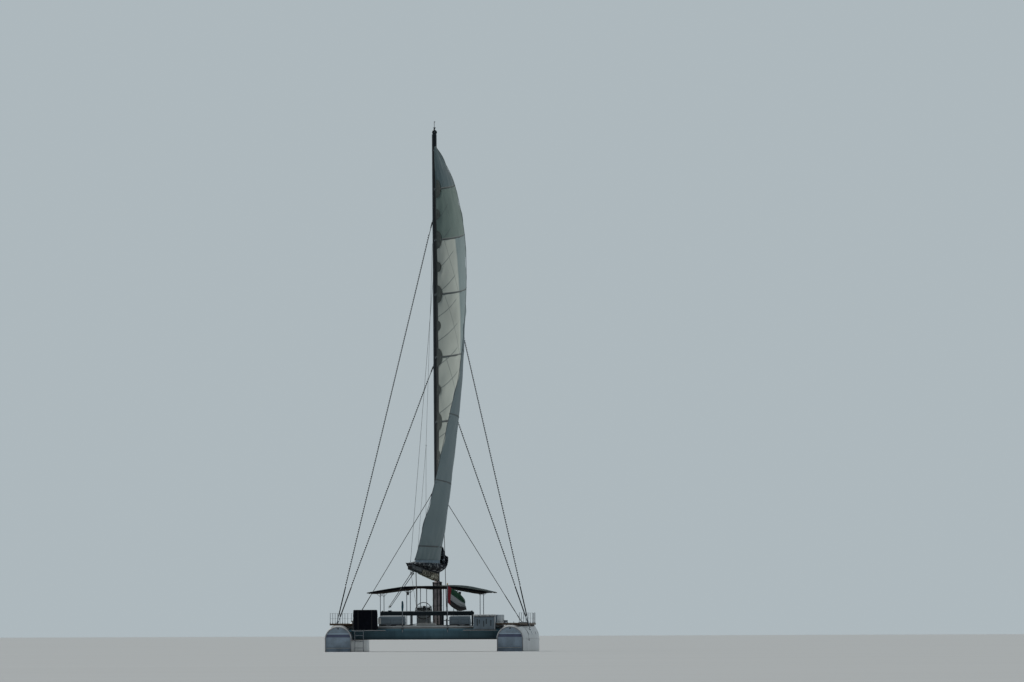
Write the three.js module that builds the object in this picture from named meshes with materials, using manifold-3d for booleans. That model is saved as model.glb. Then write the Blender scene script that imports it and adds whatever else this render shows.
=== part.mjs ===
// A sailing catamaran of about 22 metres with a rigid bridge between its hulls, an open deck under a
// canopy, a tall raked mast, a fully battened mainsail and a boom with its sail bag.
// Millimetres, +X starboard, +Y forward, +Z up. The origin is on the waterline, on the centreline, midships.

import * as THREE from 'three';
import { mergeVertices } from 'three/addons/utils/BufferGeometryUtils.js';
import Module from 'manifold-3d';

const wasm = await Module();
wasm.setup();

// Fits
const SEAT = 0.3;
const DEG = Math.PI / 180;
const PORT = -1;
const STARBOARD = 1;
const SIDES = [{ side: PORT, name: 'port' }, { side: STARBOARD, name: 'starboard' }];

// Hulls
const LENGTH = 22500;
const STERN_Y = -LENGTH / 2;
const BOW_Y = LENGTH / 2;
const HULL_X = 5030;
const SHOULDER_Z = 750;
const BILGE_Z = -60;
const HULL_DECK_Z = 1550;
// y, half beam, keel depth, height of the arched top before the deck cuts it flat
const HULL_STATIONS = [
  { y: STERN_Y, half: 770, keel: -300, crown: 1470 },
  { y: -11000, half: 780, keel: -360, crown: 1530 },
  { y: -10500, half: 800, keel: -460, crown: 1600 },
  { y: -8000, half: 840, keel: -700, crown: 1620 },
  { y: -4000, half: 860, keel: -860, crown: 1620 },
  { y: 0, half: 860, keel: -900, crown: 1620 },
  { y: 4000, half: 780, keel: -850, crown: 1630 },
  { y: 7000, half: 600, keel: -720, crown: 1640 },
  { y: 9200, half: 380, keel: -520, crown: 1650 },
  { y: 10500, half: 190, keel: -300, crown: 1650 },
  { y: 11100, half: 80, keel: -120, crown: 1650 },
  { y: BOW_Y, half: 36, keel: -30, crown: 1650 },
];
const HULL_ARC_STEPS = 7;
const BILGE_FULLNESS = 0.62;
const CHAINPLATE = { x0: 5540, x1: 5765, y0: -3490, y1: -3240, z0: 980, z1: 1320 };

// Side decks along the tops of the hulls: y, inboard edge, outboard edge from the hull's centre
const SIDE_DECK_THICK = 110;
const SIDE_DECK_TOP = HULL_DECK_Z + SIDE_DECK_THICK;
const SIDE_DECK_OUTLINE = [
  { y: -10650, inboard: 850, outboard: 530 },
  { y: 3500, inboard: 850, outboard: 530 },
  { y: 7000, inboard: 560, outboard: 410 },
  { y: 9000, inboard: 330, outboard: 260 },
  { y: 10350, inboard: 130, outboard: 110 },
];

// Bridge and deck
const BRIDGE_AFT_Y = -10250;
const BRIDGE_FRONT_Y = 2300;
const BRIDGE_BOTTOM_Z = 710;
const BRIDGE_TOP_Z = 1350;
const BRIDGE_REACH_X = 4600;
const DECK_Z = 1500;
const SHELF = { inner: 2250, y0: -11000, top: 1270, thick: 90 };
const STEP = { x0: -1700, x1: 1870, y1: -9850, top: 1545, humpTop: 1670 };

// Foils under the hulls
const KEEL = { y: -100, chord: 3600, thick: 300, bottom: -1700, top: -500 };
const RUDDER = { y: -10350, chord: 620, forward: 150, thick: 80, bottom: -1450, top: -640 };
const RUDDER_BOSS = { radius: 95, bottom: -570 };
const STOCK_RADIUS = 45;
const DRIVE = {
  y: -8300, chord: 340, thick: 120, bottom: -1180, top: -400, shaftZ: -1100, podRadius: 85, podLength: 380,
  podAft: 60,
};
const PROP = {
  y: -8640, radius: 260, hub: 62, hubLength: 150, gap: 0.5, blades: 3, thick: 14, pitch: 32 * DEG,
};
const BLADE_OUTLINE = [
  [-30, 30], [30, 30], [75, 120], [70, 200], [30, 252], [-30, 252], [-70, 200], [-75, 120],
];

// Deck furniture
const AFT_BENCH = { y0: -9700, backY: -9500, y1: -8850, seat: 1930, top: 2050, slope: 50 };
const AFT_BENCHES = [{ name: 'port', x0: -2750, x1: -1200 }, { name: 'starboard', x0: 1380, x1: 2600 }];
const SIDE_BENCH = {
  inner: 3480, outer: 4080, y0: -7900, y1: -1200, seat: 1950, top: 2150, back: 130, slope: 30,
};
const TRAVELLER = {
  y: -8300, half: 2750, deep: 150, z0: 2110, z1: 2330, car: -2180, carHalf: 90, carTop: 2420, legHalf: 50,
};
const TRAVELLER_LEGS = [-2650, -900, 900, 2650];
const COVERED_BOX = { x0: -4150, x1: -2790, y0: -10980, y1: -10280, z1: 2460, corner: 70 };
// share of the height, how far the cover stands out there
const COVER_SWELL = [
  { t: 0, swell: 0 }, { t: 0.08, swell: 14 }, { t: 0.5, swell: 22 }, { t: 0.9, swell: 14 },
  { t: 0.97, swell: 0 }, { t: 1, swell: -45 },
];
const LOCKER = { x0: 2880, x1: 4150, y0: -10960, y1: -10290, top: 2060, wall: 40, lid: 100, lip: 25 };
const CONSOLE = { x: -500, half: 400, y0: -3650, y1: -3150, top: 2480, brow: 120, browDeep: 160, dash: -60 };
const HELM = { y: -3850, z: 2400, radius: 480, rim: 20, hub: 55, hubAft: 40, spokes: 6, spoke: 12 };
const HATCH = { y: 4300, half: 280, thick: 45 };

// Canopy: heights of its arched section at its ends, and how much higher each part is halfway along
const CANOPY = { y0: -6200, y1: -1500, thick: 60 };
const CANOPY_SECTION = [
  { x: -3670, z: 3410, rise: 20 }, { x: -2930, z: 3545, rise: 22 }, { x: -2150, z: 3670, rise: 24 },
  { x: -1380, z: 3765, rise: 26 }, { x: -700, z: 3785, rise: 28 }, { x: 0, z: 3790, rise: 42 },
  { x: 700, z: 3785, rise: 86 }, { x: 1380, z: 3765, rise: 129 }, { x: 2150, z: 3670, rise: 149 },
  { x: 2930, z: 3545, rise: 136 }, { x: 3670, z: 3415, rise: 60 },
];
const CANOPY_STATIONS = 6;
const FRAMES = [
  { name: 'aft', y: -5450, posts: [-2930, -1380, -780, -210, 780, 1380, 2930] },
  { name: 'forward', y: -2250, posts: [-2930, -1380, -780, 780, 1380, 2930] },
];
const FRAME_RADIUS = 25;
const TUBE_LAP = 2;
// The canopy is cut from the tops of its frames, which are let into it by this much
const FRAME_SINK = 3;
const FRAME_DROP = FRAME_RADIUS - FRAME_SINK;
const FRAME_REACH = 0.985;
const LAMP = { x: 1530, size: 130, drop: 190 };

// Rig
const RAKE = 3 * DEG;
const MAST_FOOT = new THREE.Vector3(0, 1150, DECK_Z);
const MAST_TOP_Z = 30420;
const MAST_HALF = { x: 140, y: 230 };
const MAST_STEPS = 20;
const CASING = { x: 260, y: 340, top: 4150 };
const PIVOT_BACK = 360;
const PIVOT_Z = 4400;
const GOOSENECK = {
  plateHalf: 70, plateHigh: 120, plateDeep: 75, earHalf: 60, earInner: 61, earOuter: 96, earPast: 50,
};
const PIN_RADIUS = 25;
const PIN_BORE = 26;
const BOOM_YAW = -6.5 * DEG;
const BOOM_RISE = 3.75 * DEG;
const BOOM = { length: 8900, start: 190, half: 130, high: 190, round: 90, noseRadius: 46, tongue: 45, tab: 60 };
// The crane's side outline: distance forward of the mast's middle, height over its top
const CRANE_OUTLINE = [[-300, 0], [280, 0], [280, 90], [130, 240], [-130, 240], [-300, 110]];
const CRANE_HALF = 85;
const VANE = { x: 0, y: 90, radius: 14, top: 780, armZ: 690, armY0: -60, armY1: 420, armRadius: 10 };
const WIRE = 16;
const CAP_Z = 25300;
const INNER_Z = 16800;
const LOWER_Z = 9500;
const CHAIN_X = 5715;
const LOWER_FOOT = { x: 4970, y: 1600 };
const STRIKER_TOP = 1900;
const STAY_PAST = 60;
const LIFT = { z: 22500, x: -45, u: 8780, radius: 9, deep: 60 };
const SHEET = {
  u: 8350, v: 40, headHalf: 70, headTop: 20, headDeep: 230, tailHalf: 80, tailRise: 40, tailHigh: 150, deep: 50,
  lineGap: 42, lineRadius: 14, strap: 30, strapReach: 60,
};

// Mainsail rows: height of the luff, chord, chord angle from straight aft (+ to starboard), camber share
const SAIL_ROWS = [
  { z: 5370, chord: 8500, angle: -5, camber: 0.07 },
  { z: 6100, chord: 8400, angle: -3.5, camber: 0.08 },
  { z: 7250, chord: 8300, angle: -1.5, camber: 0.098 },
  { z: 9000, chord: 8100, angle: 2.3, camber: 0.106 },
  { z: 10300, chord: 8000, angle: 4.5, camber: 0.112 },
  { z: 12500, chord: 7600, angle: 8.2, camber: 0.124 },
  { z: 13900, chord: 7300, angle: 10.8, camber: 0.128 },
  { z: 15600, chord: 7000, angle: 14.6, camber: 0.121 },
  { z: 18400, chord: 6300, angle: 19, camber: 0.12 },
  { z: 21400, chord: 5400, angle: 23.6, camber: 0.115 },
  { z: 24600, chord: 4200, angle: 27.7, camber: 0.1 },
  { z: 27400, chord: 2700, angle: 29, camber: 0.085 },
  { z: 29000, chord: 1050, angle: 29.5, camber: 0.06 },
  { z: 29700, chord: 260, angle: 29.5, camber: 0.02 },
];
// The cloth panels between battens, as spans of the rows above
const SAIL_PANELS = [
  { name: 'foot', from: 0, to: 4 }, { name: 'lower', from: 4, to: 7 }, { name: 'upper', from: 7, to: 10 },
  { name: 'head', from: 10, to: 13 },
];
const SAIL_COLUMNS = 9;
const SAIL_THICK = 10;
const LUFF_FORWARD = 55;
const BATTEN_RISE = 0.06;
const BATTEN_RISE_SPAN = 4000;
const CLEW_STRAP = { u: 8680, v: 60, radius: 12 };

// Sail bag sections along the boom: distance, half widths to port and starboard, height of its top
const BAG_SECTIONS = [
  { u: 260, left: 330, right: 580, top: 873 },
  { u: 1500, left: 430, right: 600, top: 811 },
  { u: 4000, left: 470, right: 540, top: 650 },
  { u: 6500, left: 430, right: 430, top: 450 },
  { u: 7900, left: 380, right: 330, top: 313 },
  { u: 8340, left: 330, right: 170, top: 240 },
];
// Heights up a section, as shares of the way from the boom to its top
const BAG_SHARES = { low: 0.25, side: 0.5, high: 0.88 };
// The bag's horn beside the luff: distance along the boom, width outside the sail, height of its top
const BAG_HORN = [
  { u: 262, wide: 330, top: 1500 }, { u: 450, wide: 330, top: 1860 }, { u: 800, wide: 250, top: 1500 },
  { u: 1450, wide: 170, top: 900 },
];
const HORN = { base: 640, gap: 45, inner: 0.55, tip: 0.52, shoulder: 0.94, shoulderRise: 0.6 };

// Staffs, flag, ladder, forward beam, nets and guard rails
const STAFF = { x: 1320, y: BRIDGE_AFT_Y - 22 - SEAT, radius: 22, z0: 1130, truck: 45 };
const FLAG_STAFF_TOP = 3960;
const PORT_STAFF = { top: 2960, sleeveFrom: 2370, sleeveRadius: 70 };
// distance along the fly: top corner x, z, bottom corner x, z, wave
const FLAG_COLUMNS = [
  { top: [1342.5, 3860], bottom: [1342.5, 2860], wave: 0 },
  { top: [1560, 3700], bottom: [1470, 2700], wave: 70 },
  { top: [1830, 3540], bottom: [1700, 2520], wave: -60 },
  { top: [2110, 3310], bottom: [2020, 2370], wave: 60 },
  { top: [2330, 3060], bottom: [2440, 2440], wave: -40 },
];
const FLAG_THICK = 8;
const LADDER = {
  x0: -4060, x1: -3560, hingeY: -11045, hingeZ: 1200, bottom: -560, tube: 19, bore: 20.2, lug: 22, treads: 5,
};
const FOREBEAM = {
  y: 9600, z: 1340, radius: 120, post: 50, braceX: 3800, braceRise: 40, braceDrop: 60, brace: 24,
};
const CATWALK = { half: 350, top: 1440, thick: 120 };
const NET = { z: 1330, thick: 16 };
const RAIL_POSTS = [
  { y: -10450, dx: 504 }, { y: -8350, dx: 504 }, { y: -6250, dx: 504 }, { y: -4150, dx: 504 },
  { y: -2050, dx: 504 }, { y: 50, dx: 504 }, { y: 2150, dx: 504 }, { y: 4250, dx: 480 },
  { y: 6350, dx: 405 }, { y: 8350, dx: 285 }, { y: 10200, dx: 85 },
];
const RAIL_HEIGHTS = [1950, 2250];
const RAIL_WIRE = 8;
const POST_RADIUS = 14;

// Finishes
const FINISH = {
  gelcoat: { color: 0xd9dcdc, roughness: 0.35, metalness: 0 },
  bridge: { color: 0x5d7478, roughness: 0.5, metalness: 0 },
  deck: { color: 0xc9c5b8, roughness: 0.7, metalness: 0 },
  plank: { color: 0xb7a98f, roughness: 0.7, metalness: 0 },
  antifoul: { color: 0x27313c, roughness: 0.8, metalness: 0 },
  steel: { color: 0xa9afb2, roughness: 0.25, metalness: 1 },
  spar: { color: 0x39424a, roughness: 0.4, metalness: 0.6 },
  bronze: { color: 0x9a7a45, roughness: 0.35, metalness: 1 },
  sail: { color: 0xc2c4b2, roughness: 0.8, metalness: 0 },
  canvas: { color: 0x141a26, roughness: 0.9, metalness: 0 },
  canopy: { color: 0x7c8478, roughness: 0.85, metalness: 0 },
  casing: { color: 0xa58f8c, roughness: 0.8, metalness: 0 },
  rope: { color: 0x20242a, roughness: 0.9, metalness: 0 },
  net: { color: 0x8d9294, roughness: 0.9, metalness: 0 },
  flag: { color: 0xa8202c, roughness: 0.8, metalness: 0 },
  teal: { color: 0x2e5560, roughness: 0.85, metalness: 0 },
  rubber: { color: 0x1c1e20, roughness: 0.6, metalness: 0 },
};

const catamaran = new THREE.Group();

function add(name, geometry, finish) {
  const mesh = new THREE.Mesh(geometry, new THREE.MeshStandardMaterial(FINISH[finish]));
  mesh.name = name;
  catamaran.add(mesh);
}

// Solids: a closed geometry becomes a manifold to be joined or cut, and comes back as a geometry.
function solid(geometry) {
  const bare = geometry.index ? geometry.toNonIndexed() : geometry.clone();
  for (const key of Object.keys(bare.attributes)) {
    if (key !== 'position') bare.deleteAttribute(key);
  }
  const merged = mergeVertices(bare, 1e-3);
  return new wasm.Manifold(new wasm.Mesh({
    numProp: 3,
    vertProperties: new Float32Array(merged.attributes.position.array),
    triVerts: new Uint32Array(merged.index.array),
  }));
}

function geometryOf(manifold) {
  const mesh = manifold.getMesh();
  const geometry = new THREE.BufferGeometry();
  geometry.setAttribute('position', new THREE.BufferAttribute(new Float32Array(mesh.vertProperties), 3));
  geometry.setIndex(new THREE.BufferAttribute(new Uint32Array(mesh.triVerts), 1));
  geometry.computeVertexNormals();
  return geometry;
}

function join(geometries) {
  const [first, ...others] = geometries.map(solid);
  return geometryOf(others.reduce((whole, next) => whole.add(next), first));
}

function cut(geometry, tools) {
  return geometryOf(tools.map(solid).reduce((whole, tool) => whole.subtract(tool), solid(geometry)));
}

// Primitive forms, each in the boat's own frame
function block(x0, x1, y0, y1, z0, z1) {
  return new THREE.BoxGeometry(x1 - x0, y1 - y0, z1 - z0)
    .translate((x0 + x1) / 2, (y0 + y1) / 2, (z0 + z1) / 2);
}

function rod(from, to, radius, sides = 10) {
  const along = new THREE.Vector3().subVectors(to, from);
  const turn = new THREE.Quaternion().setFromUnitVectors(new THREE.Vector3(0, 1, 0), along.clone().normalize());
  const middle = from.clone().addScaledVector(along, 0.5);
  return new THREE.CylinderGeometry(radius, radius, along.length(), sides)
    .applyQuaternion(turn)
    .translate(middle.x, middle.y, middle.z);
}

function vertical(x, y, z0, z1, radius, sides = 12) {
  return rod(new THREE.Vector3(x, y, z0), new THREE.Vector3(x, y, z1), radius, sides);
}

function prism(points, depth) {
  const shape = new THREE.Shape(points.map(([a, b]) => new THREE.Vector2(a, b)));
  return new THREE.ExtrudeGeometry(shape, { depth, bevelEnabled: false, steps: 1 });
}

// A profile of y, z points carried from x0 to x1
function prismX(points, x0, x1) {
  const turn = new THREE.Matrix4().makeBasis(
    new THREE.Vector3(0, 1, 0), new THREE.Vector3(0, 0, 1), new THREE.Vector3(1, 0, 0),
  );
  return prism(points, x1 - x0).applyMatrix4(turn).translate(x0, 0, 0);
}

// A profile of x, z points carried from y0 to y1
function prismY(points, y0, y1) {
  const turn = new THREE.Matrix4().makeBasis(
    new THREE.Vector3(1, 0, 0), new THREE.Vector3(0, 0, 1), new THREE.Vector3(0, -1, 0),
  );
  return prism(points, y1 - y0).applyMatrix4(turn).translate(0, y1, 0);
}

// A plan outline of x, y points carried from z0 to z1
function prismZ(points, z0, z1) {
  return prism(points, z1 - z0).translate(0, 0, z0);
}

// A skin over rings of points, closed at both ends by fans around the rings' middles
function loft(rings) {
  const count = rings[0].length;
  const positions = rings.flat().flatMap((point) => [point.x, point.y, point.z]);
  const faces = [];
  for (let ring = 0; ring < rings.length - 1; ring += 1) {
    for (let step = 0; step < count; step += 1) {
      const a = ring * count + step;
      const b = ring * count + (step + 1) % count;
      faces.push(a, b, b + count, a, b + count, a + count);
    }
  }
  for (const [ring, flip] of [[0, true], [rings.length - 1, false]]) {
    const middle = rings[ring].reduce((sum, point) => sum.add(point), new THREE.Vector3())
      .divideScalar(count);
    const centre = positions.length / 3;
    positions.push(middle.x, middle.y, middle.z);
    for (let step = 0; step < count; step += 1) {
      const a = ring * count + step;
      const b = ring * count + (step + 1) % count;
      faces.push(...(flip ? [b, a, centre] : [a, b, centre]));
    }
  }
  return outward(positions, faces);
}

function outward(positions, faces) {
  let volume = 0;
  const corner = (index) => new THREE.Vector3().fromArray(positions, index * 3);
  for (let face = 0; face < faces.length; face += 3) {
    volume += corner(faces[face]).dot(corner(faces[face + 1]).cross(corner(faces[face + 2])));
  }
  if (volume < 0) faces.reverse();
  const geometry = new THREE.BufferGeometry();
  geometry.setAttribute('position', new THREE.Float32BufferAttribute(positions, 3));
  geometry.setIndex(faces);
  geometry.computeVertexNormals();
  return geometry;
}

// A thin sheet: a grid of points thickened along one direction
function sheet(grid, thickness) {
  const rows = grid.length;
  const columns = grid[0].length;
  const positions = [];
  const faces = [];
  for (const offset of [-thickness / 2, thickness / 2]) {
    for (const row of grid) {
      for (const { point, normal } of row) {
        positions.push(...point.clone().addScaledVector(normal, offset).toArray());
      }
    }
  }
  const back = rows * columns;
  const at = (row, column) => row * columns + column;
  for (let row = 0; row < rows - 1; row += 1) {
    for (let column = 0; column < columns - 1; column += 1) {
      const [a, b, c, d] = [
        at(row, column), at(row, column + 1), at(row + 1, column + 1), at(row + 1, column),
      ];
      faces.push(a, b, c, a, c, d);
      faces.push(back + a, back + c, back + b, back + a, back + d, back + c);
    }
  }
  const rim = [];
  for (let column = 0; column < columns - 1; column += 1) rim.push(at(0, column));
  for (let row = 0; row < rows - 1; row += 1) rim.push(at(row, columns - 1));
  for (let column = columns - 1; column > 0; column -= 1) rim.push(at(rows - 1, column));
  for (let row = rows - 1; row > 0; row -= 1) rim.push(at(row, 0));
  rim.forEach((a, index) => {
    const b = rim[(index + 1) % rim.length];
    faces.push(a, back + a, back + b, a, back + b, b);
  });
  return outward(positions, faces);
}

// Hulls: a round bottom, an upright side and an arched top that the deck cuts flat
function hullRing(station, side, grow) {
  const half = station.half + grow;
  const keel = station.keel - grow;
  const crown = station.crown + grow;
  const ring = [];
  for (let step = 0; step <= HULL_ARC_STEPS; step += 1) {
    const angle = (step / HULL_ARC_STEPS) * 90 * DEG;
    ring.push([half * Math.sin(angle) ** BILGE_FULLNESS, BILGE_Z + (keel - BILGE_Z) * Math.cos(angle)]);
  }
  for (let step = 0; step <= HULL_ARC_STEPS; step += 1) {
    const angle = (step / HULL_ARC_STEPS) * 90 * DEG;
    const z = SHOULDER_Z + (crown - SHOULDER_Z) * Math.sin(angle);
    ring.push([half * Math.cos(angle), Math.min(z, HULL_DECK_Z + grow)]);
  }
  const mirrored = ring.slice(1, -1).reverse().map(([x, z]) => [-x, z]);
  return [...ring, ...mirrored].map(([x, z]) => new THREE.Vector3(side * HULL_X + x, station.y, z));
}

function hullSkin(side, grow = 0) {
  return loft(HULL_STATIONS.map((station) => hullRing(station, side, grow)));
}

const GROWN_HULLS = SIDES.map(({ side }) => hullSkin(side, SEAT));

function buildHulls() {
  for (const { side, name } of SIDES) {
    const boss = vertical(side * HULL_X, RUDDER.y, RUDDER_BOSS.bottom, -200, RUDDER_BOSS.radius);
    const { x0, x1, y0, y1, z0, z1 } = CHAINPLATE;
    const plate = block(Math.min(side * x0, side * x1), Math.max(side * x0, side * x1), y0, y1, z0, z1);
    add(`hull_${name}`, join([hullSkin(side), boss, plate]), 'gelcoat');
    const inboard = SIDE_DECK_OUTLINE.map(({ y, inboard: dx }) => [side * (HULL_X - dx), y]);
    const outboard = SIDE_DECK_OUTLINE.map(({ y, outboard: dx }) => [side * (HULL_X + dx), y]);
    const outline = [...inboard, ...outboard.reverse()];
    add(`side_deck_${name}`, prismZ(outline, HULL_DECK_Z + SEAT, SIDE_DECK_TOP), 'plank');
  }
}

// A symmetrical foil outline in plan, with its nose forward
function foil(x, nose, chord, thick, steps = 8) {
  const half = [];
  for (let step = 0; step <= steps; step += 1) {
    const t = (1 - Math.cos((step / steps) * Math.PI)) / 2;
    const width = 2.6 * (Math.sqrt(t) - t) * (1 - t * 0.25) + 0.04 * t;
    half.push([t, Math.max(width, 0) * thick * 0.62]);
  }
  const right = half.map(([t, width]) => [x + width, nose - t * chord]);
  const left = half.slice(1).reverse().map(([t, width]) => [x - width, nose - t * chord]);
  return [...right, ...left];
}

function buildFoils() {
  SIDES.forEach(({ side, name }, index) => {
    const x = side * HULL_X;
    const hull = GROWN_HULLS[index];
    const keel = prismZ(foil(x, KEEL.y + KEEL.chord / 2, KEEL.chord, KEEL.thick), KEEL.bottom, KEEL.top);
    add(`keel_${name}`, cut(keel, [hull]), 'antifoul');
    const blade = prismZ(
      foil(x, RUDDER.y + RUDDER.forward, RUDDER.chord, RUDDER.thick), RUDDER.bottom, RUDDER.top,
    );
    const stock = vertical(x, RUDDER.y, RUDDER.top - 200, RUDDER_BOSS.bottom - 0.6, STOCK_RADIUS);
    add(`rudder_${name}`, join([blade, stock]), 'antifoul');
    const leg = prismZ(foil(x, DRIVE.y + DRIVE.chord / 2, DRIVE.chord, DRIVE.thick), DRIVE.bottom, DRIVE.top);
    const pod = new THREE.CapsuleGeometry(DRIVE.podRadius, DRIVE.podLength, 4, 12)
      .translate(x, DRIVE.y - DRIVE.podAft, DRIVE.shaftZ);
    const reach = DRIVE.podRadius + 35;
    const hubEnd = PROP.y + PROP.hubLength / 2 + PROP.gap;
    const tail = block(x - reach, x + reach, hubEnd - 400, hubEnd, DRIVE.shaftZ - 200, DRIVE.shaftZ + 200);
    const whole = join([leg, pod]);
    add(`saildrive_${name}`, cut(whole, [hull, tail]), 'antifoul');
    add(`propeller_${name}`, propeller(x), 'bronze');
  });
}

function propeller(x) {
  const hub = rod(
    new THREE.Vector3(0, -PROP.hubLength / 2, 0), new THREE.Vector3(0, PROP.hubLength / 2, 0), PROP.hub, 12,
  );
  const blades = [];
  for (let index = 0; index < PROP.blades; index += 1) {
    const blade = prism(BLADE_OUTLINE, PROP.thick)
      .translate(0, 0, -PROP.thick / 2)
      .rotateX(90 * DEG)
      .rotateZ(PROP.pitch)
      .rotateY((index * 360 * DEG) / PROP.blades);
    blades.push(blade);
  }
  return join([hub, ...blades]).translate(x, PROP.y, DRIVE.shaftZ);
}

function buildBridge() {
  const profile = [
    [BRIDGE_AFT_Y, BRIDGE_BOTTOM_Z], [900, BRIDGE_BOTTOM_Z], [1600, 790], [2060, 960],
    [BRIDGE_FRONT_Y, 1180], [BRIDGE_FRONT_Y, BRIDGE_TOP_Z], [BRIDGE_AFT_Y, BRIDGE_TOP_Z],
  ];
  const shelves = SIDES.map(({ side }) => {
    const edges = [side * SHELF.inner, side * BRIDGE_REACH_X];
    return block(Math.min(...edges), Math.max(...edges), SHELF.y0, BRIDGE_AFT_Y + 100,
      SHELF.top - SHELF.thick, SHELF.top);
  });
  const { x0, x1, hingeY, hingeZ, lug, bore } = LADDER;
  const lugs = [x0 - 2 * lug, x1 + lug].map((x) => block(
    x, x + lug, hingeY - 40, SHELF.y0 + 20, hingeZ - 40, hingeZ + 40,
  ));
  const pinHole = rod(new THREE.Vector3(x0 - 100, hingeY, hingeZ), new THREE.Vector3(x1 + 100, hingeY, hingeZ),
    bore, 16);
  const bridge = join([prismX(profile, -BRIDGE_REACH_X, BRIDGE_REACH_X), ...shelves, ...lugs]);
  add('bridge', cut(bridge, [...GROWN_HULLS, pinHole]), 'bridge');

  const slab = block(-BRIDGE_REACH_X, BRIDGE_REACH_X, BRIDGE_AFT_Y, BRIDGE_FRONT_Y - 40,
    BRIDGE_TOP_Z + SEAT, DECK_Z);
  const step = prismY([
    [STEP.x0, DECK_Z - 50], [STEP.x1, DECK_Z - 50], [STEP.x1, STEP.top], [650, STEP.top],
    [560, STEP.humpTop], [-430, STEP.humpTop], [-520, STEP.top], [STEP.x0, STEP.top],
  ], BRIDGE_AFT_Y, STEP.y1);
  add('deck', cut(join([slab, step]), GROWN_HULLS), 'deck');
}

function buildForward() {
  const reach = HULL_X;
  const beam = rod(new THREE.Vector3(-reach, FOREBEAM.y, FOREBEAM.z),
    new THREE.Vector3(reach, FOREBEAM.y, FOREBEAM.z), FOREBEAM.radius, 16);
  const post = vertical(0, FOREBEAM.y, FOREBEAM.z, STRIKER_TOP, FOREBEAM.post);
  const braces = SIDES.map(({ side }) => rod(
    new THREE.Vector3(side * FOREBEAM.braceX, FOREBEAM.y, FOREBEAM.z + FOREBEAM.braceRise),
    new THREE.Vector3(0, FOREBEAM.y, STRIKER_TOP - FOREBEAM.braceDrop), FOREBEAM.brace,
  ));
  add('forebeam', cut(join([beam, post, ...braces]), GROWN_HULLS), 'spar');

  const walkEnd = FOREBEAM.y - FOREBEAM.radius - SEAT;
  add('catwalk', block(-CATWALK.half, CATWALK.half, BRIDGE_FRONT_Y + SEAT, walkEnd,
    CATWALK.top - CATWALK.thick, CATWALK.top), 'gelcoat');
  SIDES.forEach(({ side, name }, index) => {
    const edges = [side * (CATWALK.half + SEAT), side * (HULL_X - 100)];
    const net = block(Math.min(...edges), Math.max(...edges), BRIDGE_FRONT_Y + SEAT, walkEnd,
      NET.z, NET.z + NET.thick);
    add(`net_${name}`, cut(net, [GROWN_HULLS[index]]), 'net');
  });
}

function buildFurniture() {
  const floor = DECK_Z + SEAT;
  for (const { name, x0, x1 } of AFT_BENCHES) {
    const bench = AFT_BENCH;
    add(`aft_bench_${name}`, prismX([
      [bench.y0, floor], [bench.y1, floor], [bench.y1, bench.seat], [bench.backY + bench.slope, bench.seat],
      [bench.backY, bench.top], [bench.y0, bench.top],
    ], x0, x1), 'gelcoat');
  }
  for (const { side, name } of SIDES) {
    const bench = SIDE_BENCH;
    const profile = [
      [side * bench.inner, floor], [side * bench.outer, floor],
      [side * bench.outer, bench.top], [side * (bench.outer - bench.back), bench.top],
      [side * (bench.outer - bench.back - bench.slope), bench.seat], [side * bench.inner, bench.seat],
    ];
    add(`side_bench_${name}`, prismY(profile, bench.y0, bench.y1), 'gelcoat');
  }

  const { y, half, deep, z0, z1, car, carHalf, carTop, legHalf } = TRAVELLER;
  const beam = block(-half, half, y - deep / 2, y + deep / 2, z0, z1);
  const legs = TRAVELLER_LEGS.map((x) => block(
    x - legHalf, x + legHalf, y - legHalf, y + legHalf, floor, z0 + 20,
  ));
  const carriage = block(car - carHalf, car + carHalf, y - carHalf, y + carHalf, z1 - 20, carTop);
  add('traveller_beam', join([beam, carriage, ...legs]), 'spar');

  const shelf = SHELF.top + SEAT;
  add('covered_box', coveredBox(COVERED_BOX, shelf), 'canvas');
  const { x0, x1, y0, y1, top, wall, lid, lip } = LOCKER;
  const hollow = block(x0 + wall, x1 - wall, y0 + wall, y1 - wall, shelf + wall, top + 10);
  add('locker', cut(block(x0, x1, y0, y1, shelf, top), [hollow]), 'gelcoat');
  add('locker_lid', block(x0 - lip, x1 + lip, y0 - lip, y1, top + SEAT, top + lid), 'gelcoat');

  const browZ = CONSOLE.top + CONSOLE.brow;
  add('console', prismX([
    [CONSOLE.y0, floor], [CONSOLE.y1, floor], [CONSOLE.y1, browZ], [CONSOLE.y1 - CONSOLE.browDeep, browZ],
    [CONSOLE.y0, CONSOLE.top + CONSOLE.dash],
  ], CONSOLE.x - CONSOLE.half, CONSOLE.x + CONSOLE.half), 'gelcoat');
  add('steering_wheel', steeringWheel(), 'steel');
  for (const { side, name } of SIDES) {
    const x = side * (HULL_X - 160);
    add(`hatch_${name}`, block(x - HATCH.half, x + HATCH.half, HATCH.y - HATCH.half,
      HATCH.y + HATCH.half, SIDE_DECK_TOP + SEAT, SIDE_DECK_TOP + HATCH.thick), 'spar');
  }
}

// The covered box bulges a little between its hem and its shoulder
function coveredBox({ x0, x1, y0, y1, z1, corner }, z0) {
  const rings = COVER_SWELL.map(({ t, swell }) => {
    const z = z0 + (z1 - z0) * t;
    const [left, right, aft, fore] = [x0 - swell, x1 + swell, y0 - swell / 2, y1 + swell / 2];
    return [
      [left, aft + corner], [left + corner, aft], [right - corner, aft], [right, aft + corner],
      [right, fore - corner], [right - corner, fore], [left + corner, fore], [left, fore - corner],
    ].map(([x, y]) => new THREE.Vector3(x, y, z));
  });
  return loft(rings);
}

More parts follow.
